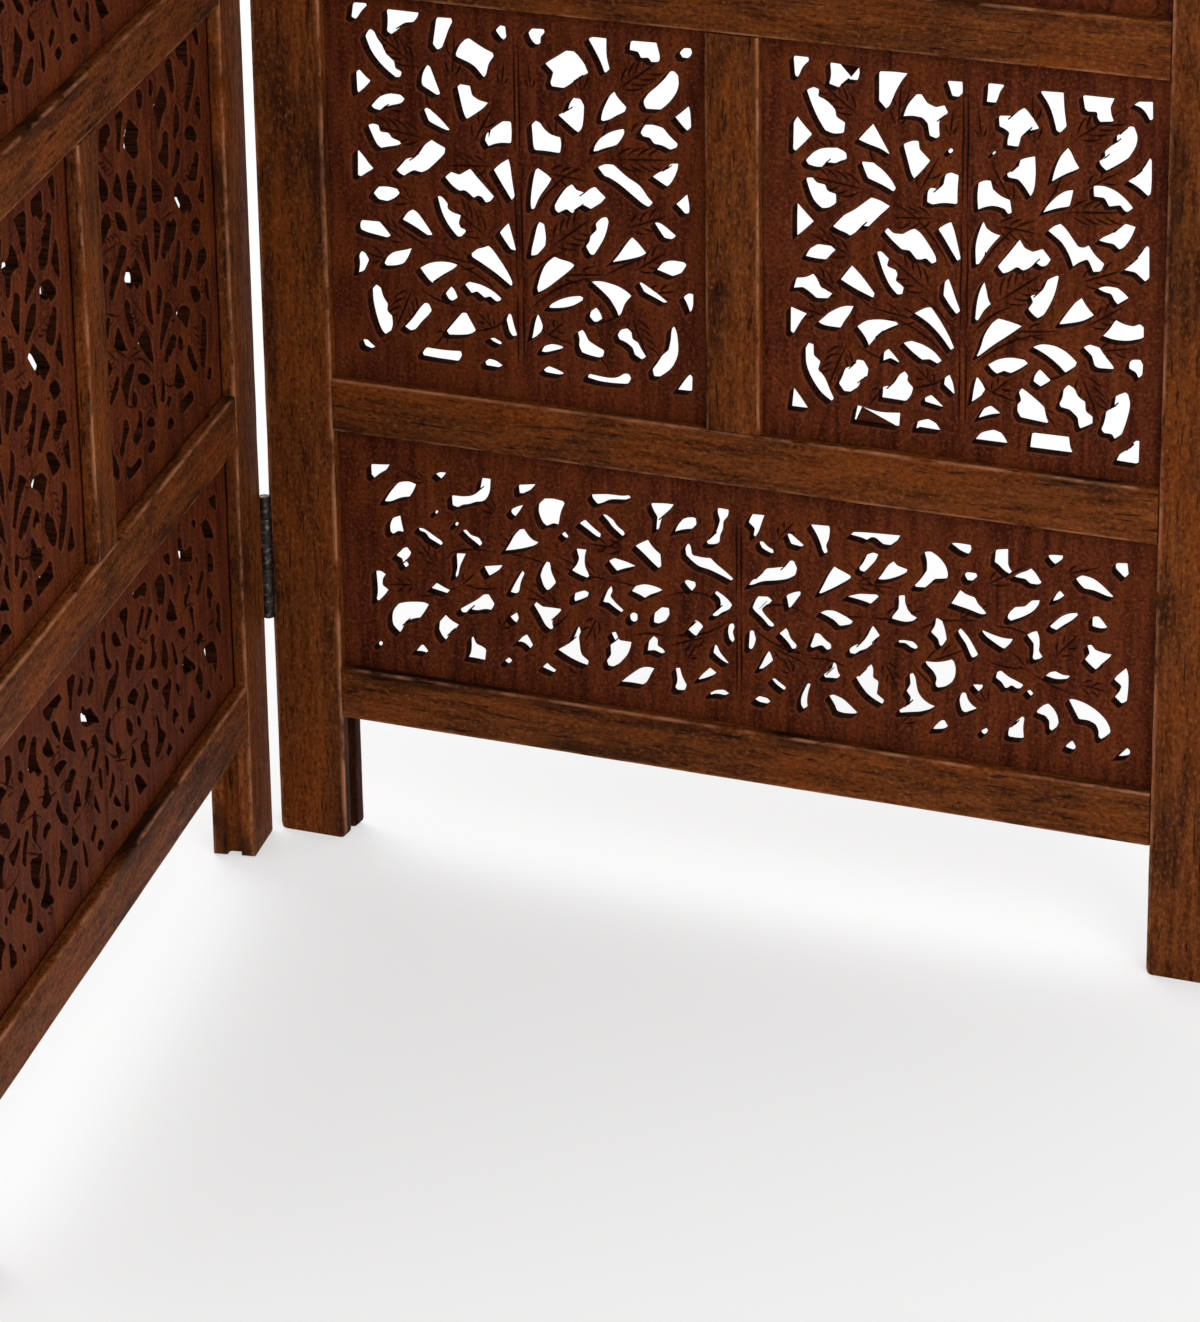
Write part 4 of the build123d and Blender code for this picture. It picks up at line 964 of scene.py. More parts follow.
# %% Holes of the band panel, left of its stem
BAND_WEST = [
    # The left end.
    [(-199.5, 110), (-192, 111), (-188.3, 111.7), (-190, 108.5), (-194, 106), (-197.5, 102.8),
     (-199.3, 104.5)],
    [(-192.8, 91.5), (-190.5, 95.5), (-187, 100), (-183.5, 102.8), (-178, 103.8), (-174, 102.5),
     (-175.5, 99), (-177.5, 95.8), (-183, 94.8), (-189, 91.5)],
    [(-163.5, 110), (-160.5, 111.3), (-157, 111.3), (-158.5, 109), (-160.3, 107.5)],
    [(-138, 111.5), (-133, 111.7), (-133.3, 104.5), (-135, 100.5), (-138, 98.5), (-141.5, 98),
     (-145, 96.3), (-149, 95.5), (-151.5, 93.8), (-154.8, 94.5), (-155, 99.5), (-148, 99.7),
     (-143, 101), (-139.3, 104.5)],
    circle((-163.5, 89.7), 1.1),
    circle((-152.3, 84.7), 1.2),
    [(-190, 78.5), (-188.5, 82.5), (-183.5, 84.8), (-182.8, 80.5), (-181.8, 75.8), (-185, 76),
     (-188, 73.8), (-189.7, 75)],
    [(-174, 79.5), (-171, 79.7), (-168, 78.3), (-165, 76.5), (-161, 74.3), (-160, 72.8), (-161.5, 71.8),
     (-165, 73.5), (-168, 74.8), (-170, 77.5), (-173, 78)],
    [(-149.3, 81.5), (-147, 82.2), (-144.5, 79.5), (-140, 78.7), (-138, 75.8), (-139.5, 74),
     (-142, 75.8), (-145.5, 78)],
    [(-187, 63), (-183.5, 67), (-180.5, 68.3), (-178, 65.5), (-179, 63), (-181, 61), (-179.3, 58.5),
     (-181.3, 56.8), (-183, 58.5), (-183.5, 61.5)],
    [(-153.3, 68.5), (-147.5, 69), (-149, 66), (-151, 62), (-152, 56.5), (-153.7, 55.3), (-154, 57.5),
     (-152.8, 61)],
    [(-138, 64), (-132, 65.3), (-127.3, 66.3), (-129, 63.5), (-132.5, 60.8), (-135, 59), (-136.5, 61.3)],
    [(-198.5, 52.8), (-195, 53), (-192.3, 51.3), (-194.3, 48.8), (-194.7, 45.5), (-191.3, 43.3),
     (-193.5, 40), (-197.5, 36.3), (-198.8, 37.5), (-198, 42)],
    [(-168, 47.8), (-164.5, 51), (-160, 49), (-156.7, 48), (-158.5, 46.3), (-163, 47)],
    [(-152, 38.8), (-148, 41.5), (-142.5, 45), (-138.5, 48.5), (-135.5, 49), (-132.3, 44), (-134, 40.5),
     (-137.5, 40.7), (-142.5, 39), (-146, 39.5), (-148, 37.2), (-150.5, 37)],
    [(-190.3, 28), (-189.5, 32.5), (-186.5, 36.5), (-180, 38.5), (-172, 39.7), (-168.8, 38.5),
     (-171, 34.5), (-173.5, 30.5), (-178, 29.3), (-182, 27), (-184, 22.5), (-185.5, 20.5), (-188, 22.5),
     (-189.8, 24.5)],
    [(-164, 26), (-163.5, 30.5), (-160, 34.7), (-157, 32), (-152.3, 29.7), (-153.5, 28), (-157, 25.5),
     (-159, 21.5), (-160.5, 20.8), (-162.5, 23)],
    [(-148, 13), (-146.5, 16), (-146, 20), (-146, 24), (-144.5, 24.7), (-143, 21), (-139.5, 20),
     (-137.5, 18.5), (-138.3, 12.7), (-143, 13)],
    [(-177.3, 11.8), (-175, 15.3), (-173, 16.5), (-169.8, 13), (-171, 11.7), (-174, 12.3)],
    circle((-197, 13), 1.4),
    [(-127.8, 14.3), (-125.3, 16.8), (-123, 15), (-125, 12.8)],
    # The outer branches, left.
    [(-118, 110.3), (-112, 111.3), (-108, 112), (-110.5, 108.8), (-115, 106), (-117.5, 105.8)],
    [(-122.7, 96.3), (-119, 98.5), (-115, 100), (-116.5, 97.3), (-119.5, 93.2), (-122, 94.3)],
    [(-126.5, 74), (-123.5, 78.5), (-121, 83.5), (-118.5, 86.5), (-115.5, 87.3), (-113, 84),
     (-110.5, 81.8), (-107, 81), (-109.5, 79), (-115, 77), (-121, 75.3)],
    [(-117, 65), (-115.5, 63), (-117.5, 58.5), (-118.5, 52.5), (-120.5, 51.5), (-123.7, 52),
     (-122, 55.5), (-119.5, 60.5)],
    [(-124.3, 38.8), (-120.3, 41.8), (-119, 38.8), (-120.3, 35.8), (-122, 36.5)],
    [(-120.7, 25.3), (-118, 28.5), (-115, 30.5), (-113.3, 28), (-111.5, 24.5), (-113, 22.8),
     (-115.5, 25.3), (-118, 26)],
    [(-107.5, 97.5), (-107, 102), (-104, 105), (-99, 105.8), (-93.5, 105), (-92.8, 103.5), (-95, 98.5),
     (-96.3, 92), (-99, 92.5), (-103, 90.5), (-105.5, 92.5)],
    [(-95, 87.5), (-93.3, 88.8), (-91, 86.3), (-91.8, 85.2), (-94, 86.3)],
    [(-107.2, 63.5), (-106, 67.5), (-103.8, 71.3), (-101.3, 71), (-101, 66), (-98.3, 60.5),
     (-100.5, 57.5), (-103, 55.5), (-105.5, 58)],
    [(-111, 47.5), (-109.5, 49), (-106, 46.8), (-100, 47), (-95.5, 47), (-95.8, 45.5), (-99, 42.5),
     (-100.8, 39), (-100.3, 35.5), (-102, 34.8), (-105, 37), (-107.5, 42)],
    [(-107, 14), (-104.3, 16.8), (-101.5, 14.8), (-98.8, 13.3), (-100, 11.8), (-104, 13)],
    [(-86.5, 39.7), (-85.2, 36), (-86.3, 33), (-85.8, 30), (-85.3, 25.5), (-84.5, 23.5), (-81, 21),
     (-81.5, 18.8), (-86, 19.5), (-92, 21.5), (-98, 24.5), (-94, 27), (-90, 30.5), (-88.7, 33.5)],
    # The inner branches, left.
    [(-85.3, 94.5), (-82, 96.8), (-78, 93.5), (-73.5, 90.5), (-73.8, 88.5), (-76, 88.8), (-81, 92)],
    [(-72.5, 100.8), (-70.5, 101), (-66.5, 98.8), (-64.3, 95.5), (-61, 93.5), (-60.5, 91.7), (-62, 91),
     (-64.5, 93), (-67.5, 95.3), (-69.5, 98)],
    [(-78.5, 110.8), (-70, 112), (-62, 112), (-58.3, 113), (-57, 111.7), (-60, 110.3), (-64, 110),
     (-68.5, 109.3), (-72, 107), (-75, 106), (-77.5, 108.5)],
    [(-87, 80.7), (-81.3, 81), (-82.3, 77), (-82.3, 72), (-80, 67), (-81.3, 66), (-86, 67.3), (-90, 69),
     (-87, 72.5), (-85.7, 76)],
    [(-69.5, 76.8), (-66.5, 78.5), (-60, 77.5), (-54.5, 75.7), (-58, 74.5), (-61, 73.5), (-65, 71.8),
     (-67.5, 74.5)],
    [(-73, 54), (-71.5, 58.5), (-70, 62), (-68.3, 63.5), (-67.5, 60.5), (-68.8, 57.5), (-65.5, 54),
     (-61.5, 51), (-62.5, 49.8), (-66, 51.5), (-69.5, 53.8)],
    [(-88.7, 53.5), (-88, 57), (-83, 59), (-80.5, 58), (-81, 55.5), (-84, 53.8), (-88, 52)],
    [(-68.8, 38.7), (-66.3, 39.5), (-64.3, 35.2), (-57.5, 35), (-58.2, 31), (-60, 26.5), (-63.5, 22.5),
     (-67.5, 20), (-70.5, 20.2), (-71.5, 23), (-69, 26.5), (-69.3, 32), (-66.5, 34.3)],
    [(-64, 12.5), (-61, 15.3), (-57, 18.5), (-53, 21.5), (-49, 22.7), (-45, 22.3), (-47, 19),
     (-49.3, 14.5), (-51.5, 12.8), (-58, 13)],
    [(-55.2, 86.8), (-52, 89), (-48.3, 91), (-46.5, 88), (-44, 85.5), (-41.7, 84), (-41, 77.5),
     (-42.5, 76.5), (-46.5, 79.5), (-51, 83.5)],
    [(-57.5, 62.3), (-55.5, 65.3), (-50, 67.3), (-44, 66.8), (-40.5, 65.5), (-43, 63.8), (-47, 62),
     (-50, 59.5), (-52.5, 60.8)],
    [(-58.5, 49.5), (-56.5, 51), (-54, 50.3), (-54, 47), (-56, 45.8), (-58, 46.8)],
    [(-45.5, 49), (-45, 52.5), (-41.5, 56), (-37.3, 56.2), (-36.8, 52.5), (-38.5, 49), (-42.5, 46.8),
     (-45.3, 47)],
    [(-49, 31), (-48.3, 37), (-46, 40), (-43.3, 38.5), (-43.5, 35), (-40.5, 33.7), (-39.3, 31.7),
     (-41, 30.8), (-45, 32)],
    # Beside the stem, left.
    [(-46.5, 110.8), (-40, 111.7), (-34, 111.5), (-36, 108.5), (-40, 104.5), (-41.3, 100.5),
     (-42, 97.3), (-43.7, 96.8), (-43.5, 99.5), (-43, 104), (-45.5, 107.8)],
    [(-34, 97), (-32, 101.5), (-29.5, 104.5), (-26, 105.8), (-22.5, 105.8), (-22, 102), (-24, 100),
     (-29, 99)],
    [(-28.5, 90), (-27, 92.5), (-25.3, 91), (-24.7, 86.3), (-20, 85.8), (-14.8, 86), (-12, 83),
     (-7.5, 80), (-2.3, 76.3), (-3.5, 75.3), (-9, 77.3), (-15, 79.5), (-21, 80.5), (-25, 83.3),
     (-28, 86)],
    [(-29, 71.8), (-27.5, 72.7), (-22.8, 72), (-22.5, 69.5), (-24.5, 67), (-27, 69)],
    [(-27.3, 46.5), (-24.8, 48.5), (-23.3, 51.8), (-20.5, 50.5), (-18.7, 48.5), (-21, 45.5),
     (-22.3, 43.5), (-24, 43.8)],
    [(-34, 24.5), (-31.5, 25), (-30.5, 20.5), (-28, 16), (-29, 13.2), (-33, 12.8), (-34.5, 14.3),
     (-33, 18.5)],
    [(-11, 110.5), (-11, 113), (-5, 113), (-5.3, 109.5), (-7.8, 106), (-8, 101.5), (-9.5, 98.5),
     (-9.7, 95), (-12, 93.7), (-16, 93.3), (-17, 94.8), (-13.5, 97.8), (-11, 102), (-9.7, 107)],
    [(-12.8, 67.7), (-12, 69), (-8.5, 67.5), (-5.5, 65.5), (-3.3, 62.8), (-5, 60), (-8.5, 58),
     (-11, 55.5), (-13.5, 55.2), (-14, 56.5), (-11, 59.5), (-9.5, 62.5), (-10, 65.5)],
    [(-5.8, 48.5), (-5, 52.3), (-3, 53.2), (-2, 51), (-3, 48), (-2, 44), (-3, 42.5), (-5, 44.5)],
    [(-13.7, 36), (-12.8, 40.5), (-11.5, 40), (-10, 36.5), (-7.5, 33.8), (-5, 31), (-6.5, 31),
     (-10, 33)],
    [(-22, 20.5), (-20, 23), (-17, 26), (-15.5, 27.5), (-11.7, 24.8), (-13, 23.5), (-17, 21.5),
     (-21, 20)],
    [(-15.7, 14), (-12.5, 16), (-8, 16.7), (-5, 15), (-7, 13.8), (-12, 14), (-15, 12.8)],
]

# %% Holes of the band panel, right of its stem
BAND_EAST = [
    # Beside the stem, right.
    [(5.3, 108), (7, 112.5), (14, 112.7), (12.3, 108), (11, 103.5), (9.3, 100.3), (8, 101.5),
     (8.7, 105)],
    [(11, 98.3), (13, 98.5), (15.5, 96), (18.3, 95), (18.7, 93.3), (16.5, 93.5), (12.5, 95.3)],
    [(25.8, 104.5), (27.5, 104.7), (31, 102.3), (34.7, 99.5), (33.5, 98.8), (28, 99.5)],
    [(5.3, 74.5), (7, 77.5), (11, 80.5), (14.5, 85), (20, 86.3), (24.5, 87.5), (27, 91), (29.3, 91),
     (31, 87), (30, 83), (26, 80.5), (20, 79), (13, 77.8), (8, 75)],
    [(25.3, 72), (29, 74), (32.7, 75), (33, 73), (30.5, 69.5), (28, 66), (26.5, 65.8), (26, 69)],
    [(10, 69.5), (15.5, 70), (18, 68), (16, 66), (12.8, 65.5), (12.3, 62.5), (14.5, 59.5), (19, 55.5),
     (18.3, 54), (16, 54.5), (12.5, 58.5), (8.5, 61.5), (7.2, 63.5), (8.5, 67)],
    [(5.7, 47), (6, 50.5), (8, 50.8), (9.3, 46), (8, 41.5), (6.5, 40.3), (5.2, 41.5)],
    [(21.5, 51.5), (25, 55), (26.5, 53), (27.5, 49.5), (30.8, 46.3), (30.5, 44.5), (28.5, 44),
     (27, 46.5), (24.5, 49)],
    [(10.5, 30.8), (12.5, 35), (14, 38.5), (15.8, 41.5), (17, 40), (18.3, 36.5), (15.5, 33.5),
     (13, 31.3)],
    [(17.5, 26.8), (19, 27.3), (25.3, 22.7), (24.5, 21.2), (20.5, 23.5)],
    [(36, 25.5), (37, 27.3), (38.3, 26.5), (37, 22), (36.3, 17.5), (36.7, 14.3), (34.5, 12.8), (33, 15),
     (33, 19)],
    [(8.3, 14.5), (10.5, 16.5), (15, 16), (17, 14), (15.5, 12.8), (11, 13)],
    # The inner branches, right.
    [(38, 111.5), (47.5, 112), (48, 110), (47.5, 104.5), (46, 101), (47, 97.5), (45.5, 96.8),
     (44.3, 98.5), (43.3, 102), (41, 107)],
    [(58.5, 109), (60, 110.5), (70, 111.3), (84.5, 112.2), (83, 109), (80, 106.3), (76, 106.2),
     (72, 109), (70, 109), (67.5, 107), (65, 108), (61, 108.5)],
    [(63.3, 92.5), (66, 96), (67.5, 99.8), (70.5, 101), (73.3, 100.3), (72, 96.5), (69, 93),
     (66.5, 90.5), (64, 91)],
    [(42.3, 75.5), (44.5, 80), (47, 86), (50, 91), (52, 90), (55, 89), (59, 87.5), (59, 86), (55, 83),
     (49.5, 79), (44, 75.5)],
    [(56.5, 76.3), (63, 78.8), (68, 79), (72, 79.5), (73.8, 78.5), (72, 76), (70, 73.8), (66, 75),
     (60, 76)],
    [(42.8, 65.8), (46, 67.5), (50.5, 68), (55.5, 66), (60, 63.5), (59.5, 62), (56.5, 61), (53.5, 60.3),
     (50.5, 63), (47, 64.5)],
    [(38, 47), (39.5, 51), (40.5, 54.7), (43, 54.5), (46, 51.5), (49, 49.5), (49, 46.8), (47, 46),
     (44.5, 48.3), (42, 47.3), (39.5, 46)],
    [(58.5, 48.5), (60.5, 51), (64.5, 52.5), (67.5, 56.5), (69.5, 61), (70.5, 62.8), (72.5, 60.5),
     (74.5, 57.8), (72.5, 56), (71, 53), (68, 50), (64.5, 48.5), (62, 46.3), (59, 46.3)],
    [(45, 33), (46, 34.5), (48.5, 35.3), (49.5, 38), (50, 40.3), (51.5, 39.5), (52.3, 35.5),
     (53.7, 33.8), (52.5, 32), (49, 31.8), (46, 31.3)],
    [(61.8, 34.8), (65.5, 37.5), (68, 41), (69.8, 42.5), (71, 40), (70.8, 35.5), (73.7, 34), (73.5, 30),
     (73, 27), (77, 24), (76.3, 21.8), (72.5, 23.5), (68.5, 26), (65, 30)],
    [(48, 22.5), (50, 23.2), (55, 22), (59.5, 18.5), (63, 15.3), (61.5, 14.5), (55, 14), (52, 15),
     (51, 18)],
    [(73, 87.8), (76, 92), (78.5, 96), (81, 98), (83, 96), (88.5, 94.7), (88, 92.8), (83, 90),
     (77, 87.8)],
    [(84, 80.8), (87, 81.3), (87.2, 77), (88.5, 73.8), (90.5, 71.5), (94, 70.3), (92, 68.3), (87.5, 67),
     (80.5, 67.8), (81, 69.5), (84, 73.5), (84.3, 77)],
    [(84, 57.5), (87, 58), (91.5, 57.7), (94, 55.3), (93.5, 53.8), (91, 54.3), (88, 56.3), (84.5, 56)],
    # The outer branches, right.
    [(97, 105.5), (100, 106), (104.5, 103.5), (108, 99.5), (109.3, 95.5), (109, 93), (103, 92),
     (100, 89), (98, 87), (93, 86.5), (92, 87.5), (95.5, 91.5), (98.5, 96), (98.5, 101)],
    [(110.8, 111.8), (113, 112.3), (120.5, 112.2), (121, 110), (120, 107.5), (116, 108.5)],
    [(118, 96.3), (118.5, 97.8), (123.5, 98), (124.3, 96), (122.5, 93.8), (119.5, 93.7)],
    [(111, 80.8), (113.5, 85), (115.3, 88.3), (118, 86.5), (123, 85.3), (124.5, 82), (128.5, 78.5),
     (129, 77.2), (126.5, 76.8), (121, 78.5), (115, 79.8)],
    [(103.5, 72), (106.5, 70.5), (108, 66.5), (108.8, 61), (106.5, 57.2), (105.3, 58), (104.5, 61),
     (100.7, 64.3), (103, 68)],
    [(114.7, 66.5), (115.8, 68), (119.5, 64.5), (122.5, 60), (125, 56), (124.5, 54.5), (122.5, 53.7),
     (121, 56), (119, 60.5), (116.5, 63.5)],
    [(127, 68.8), (133, 67.3), (138, 66.5), (143, 66.8), (141.5, 64), (139, 61), (137, 61.5),
     (133.5, 63.5), (129, 66)],
    [(98, 48.3), (103, 48.5), (108.5, 50), (111.5, 51.5), (113, 50), (114, 46.5), (113.5, 42),
     (111.5, 38.5), (108.5, 36.3), (104.5, 35.3), (103.3, 37), (104, 40.5), (102.5, 43.5), (99.5, 45.8)],
    [(90, 40.3), (91.5, 41), (93, 38.5), (93.5, 34.5), (94.5, 31), (97, 28), (100.5, 26), (104, 25.3),
     (101, 23), (96, 21), (90, 19.8), (85.5, 18.7), (84.8, 20.5), (87.5, 22.5), (90, 24.3), (91, 28),
     (88.5, 31), (90.5, 35)],
    [(122.8, 39.8), (124.5, 40), (128, 40.3), (127.5, 38), (126, 36.2), (124, 38.3)],
    [(117, 34.8), (119, 34.8), (120, 31.5), (122, 29), (125.5, 27), (123, 25.8), (119.5, 24),
     (117.5, 25), (116.3, 28.5), (116, 31.5)],
    [(102.3, 13.3), (103.5, 15.3), (106, 18.3), (108, 18.8), (110.3, 15.3), (108.5, 14), (103.5, 13)],
    [(127.5, 16.5), (130, 18), (131, 16.3), (129.7, 14.2), (128, 15)],
    # The right end.
    [(133.5, 112), (139.5, 113), (139.5, 105.5), (140, 103.5), (142, 101), (141, 100), (138, 101.5),
     (135, 104.5), (133, 105.5)],
    [(142.7, 99.3), (145.5, 101.5), (149, 103), (151, 104.7), (153.5, 102.5), (155.5, 99.5),
     (157, 97.3), (155.5, 96.5), (151.5, 96.5), (149, 98.5), (144.5, 98.7)],
    [(140, 77.5), (140.5, 80), (143, 83.5), (148, 84.5), (151.5, 88), (156, 88.8), (155.5, 86),
     (152.5, 82), (148, 79), (142, 76)],
    [(150, 70.3), (152.5, 72), (155, 72.7), (156.3, 69.5), (156.5, 66), (156, 62), (158, 59),
     (156.5, 58), (154, 57.3), (153, 58.5), (153.5, 62), (153.5, 66)],
    [(134.7, 45), (135.5, 48.8), (137, 49.2), (141, 46.3), (145, 45), (148.7, 43.5), (147.5, 41.3),
     (145.5, 41), (143, 42.3), (141, 40.5), (139.5, 40.3), (138, 43)],
    [(150.3, 41), (152, 41.7), (154, 39.5), (152.8, 38.3)],
    [(141.3, 16.5), (142, 20.5), (145, 22.5), (146, 25.5), (148, 27.3), (149.3, 26), (148.7, 21),
     (149.3, 15.5), (145, 15.2), (142, 15.3)],
    [(160, 112.5), (163, 113), (167.5, 113.3), (167, 111), (164, 108.5), (161.5, 110.3)],
    [(194, 113.3), (199.5, 113.8), (200.2, 108), (199, 106.5), (196.5, 108.5), (194, 111)],
    [(174, 103.3), (176.5, 105), (182, 104.3), (186.5, 101.5), (190, 98.5), (193.3, 95.5), (190, 95.7),
     (184, 97.8), (179, 98), (176.5, 100)],
    [(163, 90), (164.5, 93), (166, 95.3), (168.8, 92.5), (166, 90.3), (163.3, 89.3)],
    [(183, 79.5), (183, 84.5), (185.5, 84.8), (187.5, 83), (190.3, 79.5), (187, 78.8)],
    [(161.5, 76.8), (163.3, 78.5), (166, 81.5), (170, 84), (175, 85), (175.3, 83), (173, 80.5),
     (169, 77.5), (165.5, 74.3), (162.5, 75.3)],
    [(180.7, 69.5), (182.5, 69.8), (184.5, 67.5), (188.5, 66.5), (193, 66.3), (191.5, 63.5), (188, 60),
     (185.5, 57), (183, 58.8), (179.5, 62), (182, 65.5)],
    [(160, 50), (161.5, 52.3), (164.5, 53.2), (168, 51.8), (172, 52), (171.5, 50), (166, 48.8)],
    [(200, 60.3), (201.3, 57), (201.5, 48), (201, 42.5), (199, 41.5), (195, 44.8), (197.5, 47.5),
     (198.5, 50.5), (194.5, 53.5), (197, 57.5)],
    [(172, 39.7), (174, 40), (180, 38.8), (185.5, 36.3), (190, 32.5), (192.5, 28.5), (193, 25.5),
     (191.5, 22.8), (189, 21), (187.5, 22.5), (187.5, 25.5), (186, 28.5), (182.5, 30), (177.5, 29.7),
     (175.5, 33)],
    [(155.7, 31.3), (158, 34.5), (161, 36), (164, 33.5), (166, 30), (166.8, 26), (165.5, 22.5),
     (164, 21.3), (162.5, 22.3), (162.3, 26.5), (160.3, 29), (156, 30)],
    [(170.8, 14.5), (172.3, 17), (174, 18.3), (176, 15.3), (175.5, 13.5), (172.5, 14)],
    [(196.5, 13.8), (199, 16), (201.5, 18.7), (203.3, 17.3), (203.3, 15), (200, 14)],
]

# %% Slant of the view through the band
BAND_SLANT = (-2.8, -3)
BAND_HOLES = sawn_through(BAND_WEST + BAND_EAST, BAND_SLANT)
print("holes in a band panel:", len(BAND_HOLES))

# %% [markdown]
# ### Gouge cuts
#
# A gouge cut is a shallow V that starts and ends at nothing. Each leaf has a rib from its base
# to its tip and pairs of side cuts that fan out from it. Cuts may run into a hole: there they
# nick its edge, which is what gives the leaves their frayed outline.

# %% Gouge cuts
RIB_WIDTH = 1.7
RIB_DEPTH = 1.0
CUT_STEPS = np.linspace(0, 1, 6)


def gouge(start, end, bow=0.0):
    """Points along a cut from start to end, bowed sideways by a share of its length."""
    start, end = np.array(start, float), np.array(end, float)
    side = np.array([start[1] - end[1], end[0] - start[0]]) * bow
    return [start + (end - start) * t + side * 4 * t * (1 - t) for t in CUT_STEPS]


def leaf(base, tip, width, pairs):
    """A rib and its pairs of side cuts, for a leaf of a given width."""
    rib = gouge(base, tip)
    base, tip = np.array(base, float), np.array(tip, float)
    along = tip - base
    side = np.array([-along[1], along[0]]) / np.linalg.norm(along) * width / 2
    cuts = [rib]
    for step in range(pairs):
        root = base + along * (0.12 + 0.62 * step / pairs)
        for way in (-1, 1):
            end = root + along * 0.30 + side * way * 0.95
            cuts.append(gouge(root + side * way * 0.15, end, 0.10 * way))
    return cuts


def mirrored_cuts(cuts):
    return cuts + [[np.array([-x, z]) for x, z in cut_line] for cut_line in cuts]


def all_cuts(leaves, stems):
    """Every leaf's cuts and the bowed stem lines, on both halves."""
    cuts = [cut_line for one in leaves for cut_line in leaf(*one)]
    cuts += [gouge(*stem) for stem in stems]
    return mirrored_cuts(cuts)


TREE_LEAVES = [
    ((14, 34), (24, 43), 9, 2), ((58, 52), (70, 24), 15, 4), ((16, 80), (40, 98), 17, 4),
    ((66, 62), (86, 66), 9, 2), ((60, 73), (80, 86), 11, 3), ((56, 94), (80, 104), 12, 3),
    ((48, 128), (82, 132), 13, 4), ((52, 163), (78, 182), 13, 4), ((14, 118), (38, 116), 12, 3),
    ((24, 128), (12, 150), 11, 2), ((34, 158), (32, 186), 9, 2), ((8, 158), (6, 174), 6, 1),
    ((40, 30), (48, 20), 8, 1), ((20, 66), (48, 70), 9, 2), ((58, 140), (78, 152), 9, 2),
]
TREE_STEMS = [
    ((1.6, 12), (1.6, 60)), ((1.6, 58), (1.6, 120)), ((1.2, 118), (1.2, 190)),
    ((3, 44), (44, 68), 0.10), ((4, 62), (26, 80), 0.08), ((6, 92), (34, 124), 0.08),
    ((36, 124), (50, 162), -0.08),
    ((44, 68), (70, 82), 0.05), ((4, 44), (30, 32), -0.12), ((30, 44), (56, 52), -0.10),
]
BAND_LEAVES = [
    ((16, 44), (38, 36), 9, 2), ((60, 84), (84, 84), 8, 2), ((74, 66), (100, 76), 9, 2),
    ((20, 100), (30, 112), 8, 2), ((76, 46), (84, 30), 9, 2), ((96, 46), (120, 58), 10, 2),
    ((114, 72), (132, 84), 9, 2), ((128, 92), (150, 106), 9, 2), ((150, 52), (142, 60), 8, 1),
    ((164, 60), (176, 74), 9, 2), ((176, 48), (192, 46), 8, 2), ((130, 30), (122, 44), 8, 1),
    ((168, 104), (186, 110), 7, 1), ((28, 30), (22, 40), 8, 1), ((84, 12), (100, 28), 8, 2),
]
BAND_STEMS = [
    ((1.2, 12), (1.2, 60)), ((1.2, 60), (1.2, 112)), ((3, 56), (40, 42), -0.12),
    ((4, 60), (40, 62), 0.15), ((36, 40), (58, 38), 0.08), ((40, 60), (70, 66), 0.06),
    ((70, 66), (84, 66), 0.05),
    ((92, 62), (120, 72), 0.10), ((90, 48), (110, 32), -0.10), ((128, 54), (150, 52), -0.08),
    ((150, 52), (176, 42), -0.06), ((130, 72), (160, 66), 0.08), ((56, 96), (80, 80), -0.08),
]
TREE_CUTS = all_cuts(TREE_LEAVES, TREE_STEMS)
BAND_CUTS = all_cuts(BAND_LEAVES, BAND_STEMS)
print("gouge cuts:", len(TREE_CUTS), "in a tree panel,", len(BAND_CUTS), "in a band panel")

# %% [markdown]
# ### From drawing to carved board
#
# A board with a hundred holes and two hundred cuts could be made by subtracting every tool
# from a block, but Boolean faces come out as long splinters that shade badly. Here the drawing
# itself becomes the mesh: the outlines, two rings round each hole and the lines of each cut are
# laid out flat, and a Delaunay triangulation fills the wood between them with even triangles.
# The sheet then gets its thickness, and its front is lowered where the rim is worn and where
# the gouge went.

# %% Flat sheet
RIM_RINGS = (0.45, 1.2)
FIELD_PITCH = 3.2
FIELD_SCATTER = 0.7
FIELD_MARGIN = 1
SAME_PLACE = 1e-5


def ring(points, distance):
    """The outline moved outwards by a distance."""
    step = np.roll(points, -1, axis=0) - np.roll(points, 1, axis=0)
    normal = np.stack([step[:, 1], -step[:, 0]], axis=1)
    normal /= np.linalg.norm(normal, axis=1, keepdims=True) + 1e-9
    return points + normal * distance


def beside(line, offset):
    """A line beside a cut, which meets it at both ends."""
    line = np.array(line)
    step = np.gradient(line, axis=0)
    normal = np.stack([-step[:, 1], step[:, 0]], axis=1)
    normal /= np.linalg.norm(normal, axis=1, keepdims=True)
    swell = np.sin(np.pi * CUT_STEPS) ** 0.6
    return line + normal * (swell * offset)[:, None]


def inside(places, outline):
    """Whether an outline winds round each place. One that crosses itself has no gap in it."""
    starts = np.array(outline)
    ends = np.roll(starts, -1, axis=0)
    turns = np.zeros(len(places), int)
    for start, end in zip(starts, ends):
        spans = (start[0] > places[:, 0]) != (end[0] > places[:, 0])
        slope = (end[1] - start[1]) / (end[0] - start[0] + 1e-12)
        below = places[:, 1] < start[1] + slope * (places[:, 0] - start[0])
        turns += (spans & below) * (1 if end[0] > start[0] else -1)
    return turns != 0


